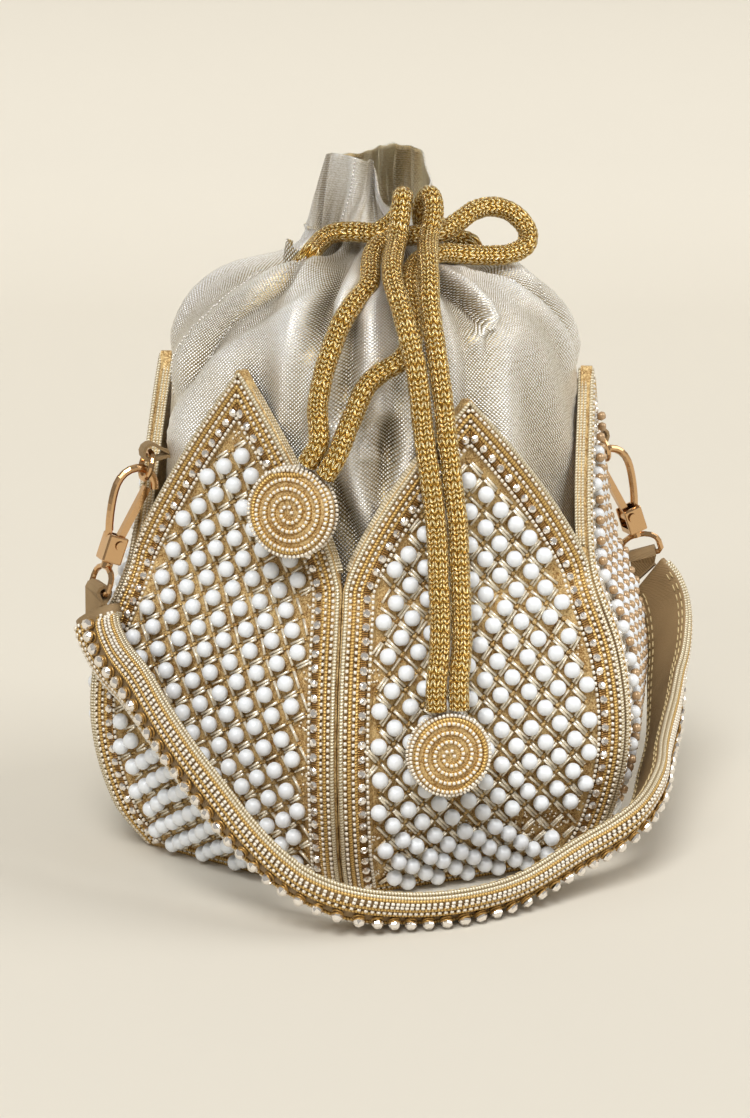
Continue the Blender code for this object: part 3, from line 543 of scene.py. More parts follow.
# %% Cord routes
CORD_R = 2.9 * MM
ROUTE_LEFT = """-25.5 -6.5 165.5, -27.8 -10.6 171.0, -26.5 -14.5 175.4, -21.5 -8.8 177.4,
-17.4 -8.8 180.0, -13.2 -13.9 181.3, -7.5 -18.2 181.2, -3.0 -20.6 184.6, -1.5 -22.9 189.0,
-2.6 -26.0 192.3, -4.5 -29.6 190.6, -6.0 -31.5 186.0, -8.2 -34.2 180.0,
-13.5 -43.5 175.8, -15.9 -49.8 172.4, -17.4 -59.6 165.2, -17.0 -66.2 154.8, -15.9 -68.0 144.5,
-15.0 -68.2 134.5, -14.2 -71.0 122.5, -13.0 -73.0 108.0, -13.2 -75.5 92.0, -15.2 -81.0 76.5,
-18.0 -84.8 65.9, -18.1 -85.4 59.0"""
ROUTE_RIGHT = """23.5 -7.0 165.5, 25.6 -10.8 171.0, 24.5 -14.5 175.4, 20.0 -10.2 177.6,
16.6 -10.8 180.3, 12.3 -15.0 181.6, 7.4 -18.4 182.7, 5.7 -20.6 186.2, 5.4 -23.0 189.8,
5.6 -26.1 192.2, 5.3 -29.5 190.2, 4.2 -31.5 186.0, 1.8 -34.3 181.3,
-2.4 -42.6 178.5, -5.3 -50.2 174.9, -8.7 -58.4 167.4, -10.0 -64.8 157.5, -9.4 -67.4 147.0,
-8.5 -68.4 136.5, -7.7 -71.0 122.5, -6.6 -73.0 108.0, -6.9 -75.7 92.0, -8.8 -81.2 76.5,
-11.8 -85.9 65.9, -11.9 -86.5 59.0"""
ROUTE_BOW = """-46.4 -61.2 125.7, -43.5 -62.8 131.8, -41.4 -57.0 140.8, -37.8 -53.2 149.3, -34.2 -50.2 155.7,
-30.5 -48.2 161.7, -25.8 -45.8 166.4, -19.6 -41.6 170.6, -15.6 -33.2 174.8, -11.0 -27.0 178.2,
-4.5 -25.6 180.4, 2.5 -25.4 181.0, 9.6 -24.9 181.2, 15.8 -23.2 183.6, 22.0 -21.4 186.3, 28.5 -20.8 187.0,
34.0 -21.8 185.0, 37.3 -24.2 180.5, 36.0 -26.8 176.3, 30.5 -28.4 174.4, 23.0 -28.9 174.3, 15.5 -29.2 175.0,
8.6 -29.4 176.0, 3.0 -31.4 175.6, -3.5 -36.6 174.2, -9.5 -45.8 170.2, -12.0 -54.2 162.5, -14.2 -58.8 156.6,
-18.6 -60.2 151.9, -23.5 -59.4 149.0, -28.6 -60.4 145.4, -33.2 -62.6 138.6, -39.8 -67.0 128.9,
-42.7 -65.3 122.8"""


def numbers_of(text):
    """A table of numbers from a text, one row before each comma."""
    return np.array([[float(n) for n in row.split()] for row in text.split(",")])


def smooth_line(points, step):
    """Points about a step apart on the smooth curve through these points or rows of values."""
    run = run_of(points[:, :3])
    count = max(2, round(run[-1] / step))
    places = [run[-1] * i / count for i in range(count + 1)]
    keys = [list(zip(run, points[:, k])) for k in range(points.shape[1])]
    return np.array([[read_curve(k, x) for k in keys] for x in places])


ROUTES = {"drawstring_left": ROUTE_LEFT, "drawstring_right": ROUTE_RIGHT, "drawstring_bow": ROUTE_BOW}
routes = {name: smooth_line(numbers_of(text) * MM, 0.5 * MM) for name, text in ROUTES.items()}

# %% [markdown]
# ## Edging rows
# From the edge in: a silver-beige cord, a row of seeds, a gold cord, a second row of seeds, a thin
# gold cord, rhinestones on a dark gold crust, and a last row of seeds. Three fine cords cover the
# panel's side wall above the seams. A maker couches them down one after the other, so each follows
# the last, and they close up a little along the sewn seams, where there is less room.

# %% Where the rows lie
# Millimetres in from the edge.
ROW_AT = {"edge": 0.45, "seed_a": 1.55, "gold_a": 2.8, "seed_b": 4.05, "gold_b": 5.05}
ROW_AT.update(stones=6.6, seed_c=8.5)
SEAM_CROWD = 0.97


def crowding(petal, up):
    """How close the rows lie: SEAM_CROWD along the seams, and 1 along the free edges."""
    seam = np.interp(VALLEY_Z, petal.z, petal.up)
    return SEAM_CROWD + (1 - SEAM_CROWD) * ease(np.clip((up - seam + 8 * MM) / (20 * MM), 0, 1))


def row_line(petal, distance):
    """The row's line in (across, up), from the right foot over the tip to the left foot."""
    right = petal.inset(distance * MM * crowding(petal, petal.up[np.searchsorted(petal.up, 0.8 * MM) :]))
    left = right[::-1] * (-1, 1)
    return np.vstack([right, left[1:] if right[-1, 0] < 1e-6 else left])


def rim_lift(distance):
    """The rim's height over the panel's face, at a distance in from the edge in millimetres."""
    return np.interp(distance, (0, 1.2, 9.0, 10.2), (-0.6, 0.8, 0.8, 0.0)) * MM


def foot_line(petal, up, inset):
    """A straight row across the petal's foot."""
    half = np.interp(up, petal.up, petal.half) - inset
    return np.array([(half, up), (-half, up)])


print("rows", ROW_AT)


# %% Lay the edging rows
def lay_cord(petal, line, lift):
    """A cord's path in space and the surface's normals along it."""
    flat, _ = even_steps(line, 1.2 * MM)
    return petal.place(flat[:, 0], flat[:, 1], lift)


def stand(petal, flat, lift, way):
    """Places, directions and normals for parts that lie along way, a direction in the cloth."""
    places, normals = petal.place(flat[:, 0], flat[:, 1], lift)
    ahead, _ = petal.place(flat[:, 0] + way[:, 0], flat[:, 1] + way[:, 1], lift)
    return places, unit(ahead - places), normals


def lay_copies(petal, line, step, lift):
    """Places, directions and normals for copies a step apart."""
    flat, way = even_steps(line, step)
    return stand(petal, flat, lift, way * 0.2 * MM)


def jitter(vectors, amount):
    """Directions turned a little, each by its own chance."""
    return vectors + np.random.default_rng(len(vectors)).normal(0, amount, vectors.shape)


for name, petal in petals.items():
    short = name.replace("petal_", "")
    edge = lay_cord(petal, row_line(petal, ROW_AT["edge"]), rim_lift(0.9) + 0.3 * MM)
    sweep_cords(f"edge_cord_{short}", [edge], 0.62 * MM, SILVER_GOLD_CORD, "bag")
    wall = row_line(petal, 0.3)
    wall = wall[wall[:, 1] > np.interp(VALLEY_Z + 4 * MM, petal.z, petal.up)]
    laid = [lay_cord(petal, wall, rim_lift(0.3) - drop * MM) for drop in (0.75, 1.7, 2.6)]
    sweep_cords(f"wall_cord_{short}", laid, 0.5 * MM, SILVER_GOLD_CORD, "bag")
    laid = [
        lay_cord(petal, row_line(petal, ROW_AT[key]), rim_lift(ROW_AT[key]) + rise * MM)
        for key, rise in (("gold_a", 0.4), ("gold_b", 0.05))
    ]
    laid += [lay_cord(petal, foot_line(petal, up * MM, 9.0 * MM), 0.45 * MM) for up in (0.9, 3.1)]
    sweep_cords(f"gold_cords_{short}", laid, 0.6 * MM, GOLD_CORD, "bag")
    stone_row = row_line(petal, ROW_AT["stones"])
    crust = lay_cord(petal, stone_row, rim_lift(ROW_AT["stones"]) + 0.1 * MM)
    sweep_cords(f"dark_silk_{short}", [crust], 1.3 * MM, BROWN_CORD, "bag", flat=0.3)
    rows = [
        lay_copies(petal, row_line(petal, ROW_AT[key]), step * MM, rim_lift(ROW_AT[key]) + rise * MM)
        for key, step, rise in (("seed_a", 1.78, 0.45), ("seed_b", 1.8, 0.45), ("seed_c", 1.6, 0.35))
    ]
    rows.append(lay_copies(petal, foot_line(petal, 2.0 * MM, 9.0 * MM), 1.7 * MM, 0.5 * MM))
    places, ways, ups = stacked(rows)
    copy_model(f"seed_rows_{short}", LONG_SEED, places, jitter(ways, 0.07), ups, SEED_GLASS, "bag")
    places, ways, ups = lay_copies(petal, stone_row, 4.0 * MM, rim_lift(ROW_AT["stones"]) + 0.6 * MM)
    ways, ups = jitter(ways, 0.3), jitter(ups, 0.05)
    copy_model(f"rhinestones_{short}", STONE, places, ways, ups, CRYSTAL, "bag", smooth=False)
print("edged", len(petals), "petals")

# %% [markdown]
# ## The bead net
# White round beads sit in the diamonds of a net. The net's sides are bugle beads, mostly in pairs,
# over gilt thread, with a gold knot at each crossing. The net is laid out flat, by its two steps, and
# sewn down diamond by diamond. Handwork varies from petal to petal: low on the front left petal the
# beads touch, in strings, and the foot of the front petal has closer rows of beads, mouth up.

# %% Plan the bead net
# Each net's two sides, as length in mm and turn in degrees from across the petal.
PLAIN_NET = ((6.65, -46.2), (6.65, 46.2))
NET_SIDES = {"petal_front_left": ((6.5, -56.4), (7.4, 31.3)), "petal_front_right": ((6.6, -40), (6.8, 52))}
NET_MIDDLE = np.array((0.0, 66 * MM))
PACKED_BELOW = {"petal_front": 22.0}
FIELD_EDGE = 8.8
BEAD_ROOM = 2.3
all_routes = np.vstack([r[::4] for r in routes.values()])


def inner_mm(petal, flat):
    """How far in from the edging's outline points lie, in millimetres, and -1 or less outside it."""
    return distance_in(petal, flat) / crowding(petal, flat[:, 1]) / MM


def net_steps(petal):
    """The net's two steps in the flat cloth: the steep one and the shallow one."""
    for length, turn in NET_SIDES.get(petal.name, PLAIN_NET):
        yield np.array((math.cos(math.radians(turn)), math.sin(math.radians(turn)))) * length * MM


def grid_of(across, up):
    """Whole numbers from -across to across, with those from -up to up, as two columns."""
    return (g.ravel()[:, None] for g in np.meshgrid(np.arange(-across, across + 1), np.arange(-up, up + 1)))


def distance_in(petal, flat):
    """How far points lie in from the petal's outline, in metres."""
    outline = np.vstack([np.stack([petal.half, petal.up], 1), np.stack([-petal.half, petal.up], 1)])
    near = np.linalg.norm(flat[:, None] - outline[None], axis=2).min(axis=1)
    inside = np.abs(flat[:, 0]) < np.interp(flat[:, 1], petal.up, petal.half)
    return np.where(inside & (flat[:, 1] > 0) & (flat[:, 1] < petal.length), near, -1.0)


def lattice(petal):
    """Bead places, and each net side's middle and half its length and way, in (across, up)."""
    steep, shallow = net_steps(petal)
    i, j = grid_of(22, 22)
    beads = i * steep + j * shallow + NET_MIDDLE
    middles = np.vstack([beads + shallow / 2, beads + steep / 2])
    ways = np.vstack([np.tile(steep / 2, (len(beads), 1)), np.tile(shallow / 2, (len(beads), 1))])
    return beads, middles, ways


def clear_of_cords(petal, flat, lift, need):
    """Lifts that keep beads this far from every cord's line, and which beads can be kept."""
    lift = np.full(len(flat), lift)
    for _ in range(10):
        places, _ = petal.place(flat[:, 0], flat[:, 1], lift)
        near = np.linalg.norm(places[:, None] - all_routes[None], axis=2).min(axis=1)
        lift = np.where(near < need, lift - 0.25 * MM, lift)
    return lift, near >= need


def in_strings(name, flat):
    """Where the front left petal's beads are strung close together, low on its left."""
    return (name == "petal_front_left") & (flat[:, 1] < 18.6 * MM - 0.92 * flat[:, 0])


def bead_strings(petal):
    """Beads that touch along the net's shallow lines, a string on every line."""
    steep, shallow = net_steps(petal)
    i, j = grid_of(22, 30)
    return i * steep + j * unit(shallow) * 4.75 * MM + NET_MIDDLE


def foot_rows():
    """The closer rows at a petal's foot: every second column half a row higher."""
    i, j = (g.ravel() for g in np.meshgrid(np.arange(-14, 15), np.arange(0, 4)))
    return np.stack([i * 4.75, 5.4 + j * 7.0 + 2.9 * (i % 2)], axis=1) * MM


def bead_places(petal):
    """Where round beads go on the petal's flat cloth, and the diamonds at its edge too small for one."""
    packed = (PACKED_BELOW.get(petal.name, 5.0) + 2.6) * MM
    net, _, _ = lattice(petal)
    inner = inner_mm(petal, net)
    fits = (inner > FIELD_EDGE + BEAD_ROOM) & (net[:, 1] > packed)
    gaps = net[(inner > FIELD_EDGE + 0.9) & ~fits & (net[:, 1] > 5.8 * MM)]
    beads = [net[fits & ~in_strings(petal.name, net)]]
    if petal.name == "petal_front_left":
        strung = bead_strings(petal)
        room = (inner_mm(petal, strung) > FIELD_EDGE + BEAD_ROOM) & (strung[:, 1] > 4.5 * MM)
        beads.append(strung[in_strings(petal.name, strung) & room])
    if petal.name in PACKED_BELOW:
        crowd = foot_rows()
        low = (crowd[:, 1] <= packed) & (crowd[:, 1] > 4.4 * MM)
        fits = low & (inner_mm(petal, crowd) > FIELD_EDGE + BEAD_ROOM)
        beads.append(crowd[fits & ((crowd[:, 0] < 12 * MM) | (crowd[:, 1] < 16 * MM))])
    return np.vstack(beads), gaps


print("net steps, mm:", {name: [side[0] for side in sides] for name, sides in NET_SIDES.items()})

# %% Sew the bead net
ACROSS, ALONG_UP = np.array([(1.0, 0.0)]) * MM, np.array([(0.0, 1.0)]) * MM
# Shares of the modelled bead's and knot's size.
PLAIN_BEAD, SMALL_BEAD, AMBER_SIZE, GRAIN = 0.96, 0.85, 2.3, 0.62


def sew_beads(petal, short, flat, rng):
    """Round beads with their holes up the cloth, pressed in under the cords. Says how many."""
    flat = flat + rng.normal(0, 0.22 * MM, flat.shape)
    lift, kept = clear_of_cords(petal, flat, 2.15 * MM, CORD_R + 2.5 * MM)
    kept &= lift > -0.2 * MM
    places, along, normals = (v[kept] for v in stand(petal, flat, lift, ALONG_UP))
    across, mouths = np.cross(along, normals), jitter(along, 0.1)
    size = SMALL_BEAD if short == "front_right" else PLAIN_BEAD
    copy_model(f"round_beads_{short}", ROUND_BEAD, places, across, mouths, WHITE_GLASS, "bag", size)
    return len(places)


def sew_bugles(petal, short, sides, ways, rng):
    """A bugle, or a pair, on each side of the net. Says how many."""
    left = short == "front_left"
    size = np.linalg.norm(ways, axis=1)[:, None]
    square = np.stack([-ways[:, 1], ways[:, 0]], 1) / size
    steep = ways[:, 0] * ways[:, 1] < 0
    pair = rng.random(len(sides)) < (np.where(steep, 0.1, 0.75) if left else 0.7)
    shift = np.where(pair, 0.42 * MM, 0.0)[:, None] * square
    lean = rng.normal(0, 0.05, len(sides))[:, None] * square * size
    middles = np.vstack([sides + shift, (sides - shift)[pair]])
    turns = np.vstack([ways + lean, (ways - lean)[pair]])
    places, along, normals = stand(petal, middles, 0.75 * MM, turns)
    stretch = rng.uniform(0.96, 1.08, len(middles)) * np.where(turns[:, 0] * turns[:, 1] < 0, 1.12, 0.96)
    copy_model(f"bugles_{short}", BUGLE, places, along, normals, BUGLE_GLASS, "bag", stretch)
    return len(middles)


def sew_ground(petal, short, sides, ways, rng):
    """The net's knots and threads. On the front right petal amber knots stand on the gold ones."""
    knots = sides + ways
    knots = knots + rng.normal(0, 0.1 * MM, knots.shape)
    places, along, normals = stand(petal, knots, 0.5 * MM, ACROSS)
    copy_model(f"net_knots_{short}", KNOT, places, jitter(along, 0.5), normals, ZARI, "bag")
    if short == "front_right":
        places, along, normals = stand(petal, knots, 3.1 * MM, ACROSS)
        copy_model("amber_knots", KNOT, places, jitter(along, 0.5), normals, AMBER_GLASS, "bag", AMBER_SIZE)
    ends = np.stack([sides - ways, sides + ways], axis=1)
    threads = [petal.place(end[:, 0], end[:, 1], 0.3 * MM) for end in ends]
    sweep_cords(f"net_threads_{short}", threads, 0.3 * MM, GOLD_CORD, "bag", sides=4)


def sew_grains(petal, short, gaps, rng):
    """Grains of zari in the small diamonds at the net's edge."""
    fill = np.repeat(gaps, 9, axis=0) + rng.uniform(-1.9, 1.9, (len(gaps) * 9, 2)) * MM
    fill = fill[inner_mm(petal, fill) > FIELD_EDGE + 0.4]
    places, along, normals = stand(petal, fill, 0.35 * MM, rng.normal(0, 1, fill.shape) * MM)
    copy_model(f"zari_grains_{short}", SEED, places, along, normals, BUGLE_GLASS, "bag", GRAIN)


counts = {"beads": 0, "bugles": 0}
for number, (name, petal) in enumerate(petals.items()):
    rng = np.random.default_rng(number)
    short = name.replace("petal_", "")
    flat, gaps = bead_places(petal)
    counts["beads"] += sew_beads(petal, short, flat, rng)
    _, sides, ways = lattice(petal)
    fits = (inner_mm(petal, sides) > FIELD_EDGE + 0.9) & (sides[:, 1] > 2.5 * MM)
    _, free = clear_of_cords(petal, sides, 0.9 * MM, CORD_R + 0.3 * MM)
    fits &= free & ~(in_strings(name, sides) & (ways[:, 0] * ways[:, 1] < 0))
    counts["bugles"] += sew_bugles(petal, short, sides[fits], ways[fits], rng)
    sew_ground(petal, short, sides[fits], ways[fits], rng)
    if len(gaps):
        sew_grains(petal, short, gaps, rng)
print(counts)

# %% [markdown]
# ## Knitted drawstrings
# The cord is a knitted tube of metallic thread: columns of V-shaped stitches run along it. The mesh
# carries the stitches as relief, so they show at the cord's outline and catch the light, and the
# finish adds the single threads in each stitch, painted shade in the gaps between them and painted
# highlight on the stitches' crests. Both read the same two numbers: the place across a column, and
# the phase of the stitch.

# %% Knitted thread
COLUMNS, STITCH, SLANT = 9, 1.65, 0.75


def knit_finish():
    mat, shader = new_finish("knitted_metallic_thread", "E3B85F", Roughness=0.22, Metallic=0.74)
    uv = add_node(mat, "ShaderNodeUVMap", uv_map="UVMap")
    split = add_node(mat, "ShaderNodeSeparateXYZ", {"Vector": uv}).node.outputs
    column = add_node(mat, MATH, {0: split["Y"], 1: COLUMNS}, operation="MULTIPLY")
    column = add_node(mat, MATH, {0: column}, operation="FRACT")
    side = add_node(mat, MATH, {0: column, 1: 2.0, 2: -1.0}, operation="MULTIPLY_ADD")
    side = add_node(mat, MATH, {0: side}, operation="ABSOLUTE")
    run = add_node(mat, MATH, {0: split["X"], 1: 1 / STITCH}, operation="MULTIPLY")
    slant = add_node(mat, MATH, {0: side, 1: SLANT}, operation="MULTIPLY")
    phase = add_node(mat, MATH, {0: run, 1: slant}, operation="SUBTRACT")
    leg = add_node(mat, MATH, {0: phase, 1: 2 * math.pi}, operation="MULTIPLY")
    leg = add_node(mat, MATH, {0: leg}, operation="COSINE")
    leg = add_node(mat, MATH, {0: leg, 1: 0.5, 2: 0.5}, operation="MULTIPLY_ADD")
    edge = add_node(mat, MATH, {0: side, 1: 5.0}, operation="POWER")
    edge = add_node(mat, MATH, {0: 1.0, 1: edge}, operation="SUBTRACT")
    middle = add_node(mat, MATH, {0: side, 1: 5.0}, operation="MULTIPLY")
    middle = add_node(mat, MATH, {0: middle, 1: 0.0, 2: 0.1}, operation="SMOOTH_MAX")
    middle = add_node(mat, MATH, {0: middle, 1: 1.0}, operation="MINIMUM")
    shape = add_node(mat, MATH, {0: leg, 1: edge}, operation="MULTIPLY")
    shape = add_node(mat, MATH, {0: shape, 1: middle}, operation="MULTIPLY")
    lines = add_node(mat, MATH, {0: phase, 1: 12 * math.pi}, operation="MULTIPLY")
    lines = add_node(mat, MATH, {0: lines}, operation="COSINE")
    lines = add_node(mat, MATH, {0: lines, 1: 0.07}, operation="MULTIPLY")
    place = add_node(mat, "ShaderNodeTexCoord", output="Object")
    fuzz = {"Vector": place, "Scale": 2600.0, "Detail": 2.0, "Distortion": 0.6}
    threads = add_node(mat, "ShaderNodeTexNoise", fuzz)
    rough = add_node(mat, MATH, {0: threads, 1: 0.5, 2: lines}, operation="MULTIPLY_ADD")
    fine = add_node(mat, MATH, {0: shape, 1: 0.7, 2: rough}, operation="MULTIPLY_ADD")
    # Painted shade: near black-brown in the gaps between stitches. Painted highlight: near white on their
    # crests.
    stops = ((0.2, "5C3B0E"), (0.35, "B9822E"), (0.53, "F0C45C"), (0.75, "FFE9A4"), (0.95, "FFF8DC"))
    tone = add_node(mat, "ShaderNodeValToRGB", {"Fac": fine}, stops=stops)
    dress(mat, shader, tone, add_node(mat, "ShaderNodeBump", {"Height": fine, "Distance": 0.0007}))
    return mat


KNIT = knit_finish()
print("thread", KNIT.name)


# %% Knit the cords
def knitted_tube(name, path, sides=63):
    """A tube with its stitches as relief. The relief stays inside the declared diameter's tolerance."""
    along = unit(np.gradient(path, axis=0))
    rise = [np.array((0.3, -1, 0.2))]
    for way in along:
        rise.append(unit(rise[-1] - way * np.dot(rise[-1], way)))
    rise = np.array(rise[1:])
    across = np.cross(along, rise)
    turn = np.arange(sides) / sides
    side = np.abs(np.mod(turn * COLUMNS, 1) * 2 - 1)[None]
    run = run_of(path)[:, None] / MM
    run = run + 0.3 * np.sin(run * 0.6 + 2 * math.pi * turn) + 0.2 * np.sin(run * 1.7)
    phase = run / STITCH - SLANT * side
    leg = (0.5 + 0.5 * np.cos(2 * math.pi * phase)) * (1 - side**5) * np.minimum(side * 5, 1)
    wobble = 0.015 * np.sin(run * 0.9) + 0.02 * np.sin(run * 0.37 + turn[None] * 6.28)
    radius = CORD_R * (0.92 + 0.12 * leg + wobble)
    angle = 2 * math.pi * turn
    ring = across[:, None] * np.cos(angle)[None, :, None] + rise[:, None] * np.sin(angle)[None, :, None]
    verts = (path[:, None] + ring * radius[:, :, None]).reshape(-1, 3)
    verts = np.vstack([verts, path[0] - along[0] * 0.3 * MM, path[-1] + along[-1] * 0.3 * MM])
    count, end = len(path), (len(path) - 1) * sides
    faces = tube_faces(count, sides)
    uvs = tube_uvs(run, np.arange(sides + 1) / sides) + [(0, 0)] * (6 * sides)
    for j in range(sides):
        k = (j + 1) % sides
        faces += [(count * sides, k, j), (count * sides + 1, end + j, end + k)]
    cord = add_piece(name, verts, faces, KNIT, "bag", uv=uvs)
    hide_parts(name)
    return cord


knitted = {name: knitted_tube(name, route) for name, route in routes.items()}
print("knitted", {name: len(cord.data.polygons) for name, cord in knitted.items()})

# %% [markdown]
# ## Cord discs
# Each pair of cord ends is sewn into a round pad. A gold cord and a row of seeds are wound on it side
# by side from the middle, and a last row of seeds runs round its edge. Both faces are worked alike,
# because a disc on a cord turns over.

# %% The shape of a disc
# Centre and radius in mm, and the directions to the right and up on the disc.
DISCS = {
    "cord_disc_upper": ((-50.2, -60.1, 112.6), 13.0, (0.719, -0.695, 0), (0.097, 0.1, 0.99)),
    "cord_disc_lower": ((-15.2, -87.0, 46.7), 12.0, (0.985, -0.174, 0), (0.015, 0.086, 0.996)),
}
# The pad's section: share of its radius, and share of its half thickness.
PAD = ((0.35, 1), (0.7, 1), (0.93, 1), (1.0, 0.32), (1.0, -0.32), (0.93, -1), (0.7, -1), (0.35, -1))
PAD_SIDES = 48


class Disc:
    """A round pad on the end of a pair of cords."""

    def __init__(self, centre, edge, right, up):
        self.edge, self.centre, self.right = edge, np.array(centre) * MM, unit(np.array(right, float))
        out = unit(np.cross(self.right, np.array(up, float)))
        self.up = np.cross(out, self.right)
        self.out = out if np.dot(out, np.array(centre) * (1, 1, 0)) >= 0 else -out

    def half(self, radius):
        """Half the pad's thickness at a radius, in millimetres: full in the middle, thin at the edge."""
        return 2.3 - 0.9 * (radius / self.edge) ** 4

    def place(self, radius, angle, height):
        """Points at radii, turns and heights, the lengths in millimetres."""
        flat = self.right * np.cos(angle)[:, None] + self.up * np.sin(angle)[:, None]
        radius, height = np.reshape(radius, (-1, 1)), np.reshape(height, (-1, 1))
        return self.centre + (flat * radius + self.out * height) * MM


def make_pad(name, disc):
    """The padded disc that stands for the frame's plain one."""
    angle = 2 * math.pi * np.arange(PAD_SIDES) / PAD_SIDES
    rings = []
    for share, thick in PAD:
        radius = (disc.edge - 0.7) * share
        rings.append(disc.place(radius, angle, disc.half(radius) * thick))
    faces = tube_faces(len(PAD), PAD_SIDES) + end_caps(len(PAD), PAD_SIDES)
    pad = add_piece(name, np.vstack(rings), faces, ZARI, "bag")
    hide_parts(name)
    return pad


discs = {name: Disc(*row) for name, row in DISCS.items()}
print("radii, mm:", [disc.edge for disc in discs.values()])

# %% Make and wind the discs
SEED_STEP, WINDING, RIM_SEEDS = 1.3, 2.5, 62
pads = {}
for name, disc in discs.items():
    pads[name] = make_pad(name, disc)
    radii, angles = [0.9], [0.0]
    while radii[-1] < disc.edge - SEED_STEP:
        angles.append(angles[-1] + SEED_STEP / radii[-1])
        radii.append(radii[-1] + WINDING * SEED_STEP / radii[-1] / (2 * math.pi))
    radii, angles = np.array(radii[:-1]), np.array(angles[:-1])
    rim = 2 * math.pi * np.arange(RIM_SEEDS) / RIM_SEEDS
    fine = np.linspace(angles[0] + math.pi, angles[-1] + math.pi, len(angles) * 3)
    between = np.interp(fine, angles, radii, right=disc.edge - 2.0)
    fine, between = fine[between < disc.edge - 1.6], between[between < disc.edge - 1.6]
    turns = np.concatenate([angles, rim])
    ways = -disc.right * np.sin(turns)[:, None] + disc.up * np.cos(turns)[:, None]
    for face, back in ((1, ""), (-1, "_back")):
        label = name.replace("cord_disc_", "") + back
        seeds = disc.place(radii, angles, (disc.half(radii) + 0.6) * face)
        rim_radius = np.full(RIM_SEEDS, disc.edge - 0.75)
        rim_seeds = disc.place(rim_radius, rim, (disc.half(rim_radius) + 0.3) * face)
        places, ups = np.vstack([seeds, rim_seeds]), np.tile(disc.out * face, (len(turns), 1))
        copy_model(f"disc_seeds_{label}", SEED, places, jitter(ways, 0.05), ups, SEED_GLASS, "bag")
        gold = disc.place(between, fine, disc.half(between) * face)
        laid = [(gold, np.tile(disc.out, (len(gold), 1)))]
        sweep_cords(f"disc_cord_{label}", laid, 0.74 * MM, GOLD_CORD, "bag", sides=8)
print("wound", len(discs), "discs")

# %% [markdown]
# ## What the cords are
# For each cord a table of its thickness, softness, far end and lay is made, and not kept. The two long
# runs end in the lower disc. The bow is a loose run of its own.


def declare(name, **says):
    says = {"diameter": 2 * CORD_R, "stiffness": "limp", **says}


for name in ("drawstring_left", "drawstring_right"):
    declare(name, far_end="fitting", lay="hanging", with_pieces=[pads["cord_disc_lower"]])
declare("drawstring_bow", far_end="object", lay="loose")
print("declared", len(knitted), "cords")

# %% [markdown]
# ## The pouch
# The pouch is thin tissue woven with a metallic weft over a golden warp. It falls in soft folds from
# the gathered neck, and above the drawstring it opens in a ruffle. Light picks out each fold of such
# a cloth, so the folds are in the mesh; the finish has the weave, painted shade in the folds' valleys
# and painted highlight on their ridges. The plan is a round of radii at each height. Folds are then
# lines drawn down over it, each with a width and a rise.

# %% The pouch's form and folds
# Height, radius at the front and sides, radius at the back, and how hexagonal the cup keeps it there.
POUCH_KEYS = (
    (2.8, 60.0, 60.0, 0.055),
    (15, 66.5, 66.5, 0.055),
    (40, 72.0, 72.0, 0.055),
    (65, 69.5, 69.5, 0.055),
    (90, 62.5, 62.5, 0.055),
    (104, 60.4, 60.4, 0.055),
    (125, 59.0, 58.5, 0.055),
    (141, 57.6, 56.0, 0.05),
    (150, 56.2, 52.0, 0.04),
    (157, 53.4, 45.0, 0.03),
    (163, 48.8, 35.0, 0.015),
    (167, 43.5, 25.5, 0.0),
    (170, 36.5, 19.5, 0.0),
    (171.6, 29.0, 17.0, 0.0),
    (173.4, 22.0, 16.0, 0.0),
    (175.5, 16.6, 15.0, 0.0),
    (177.5, 15.2, 14.0, 0.0),
    (179, 15.6, 14.6, 0.0),
)
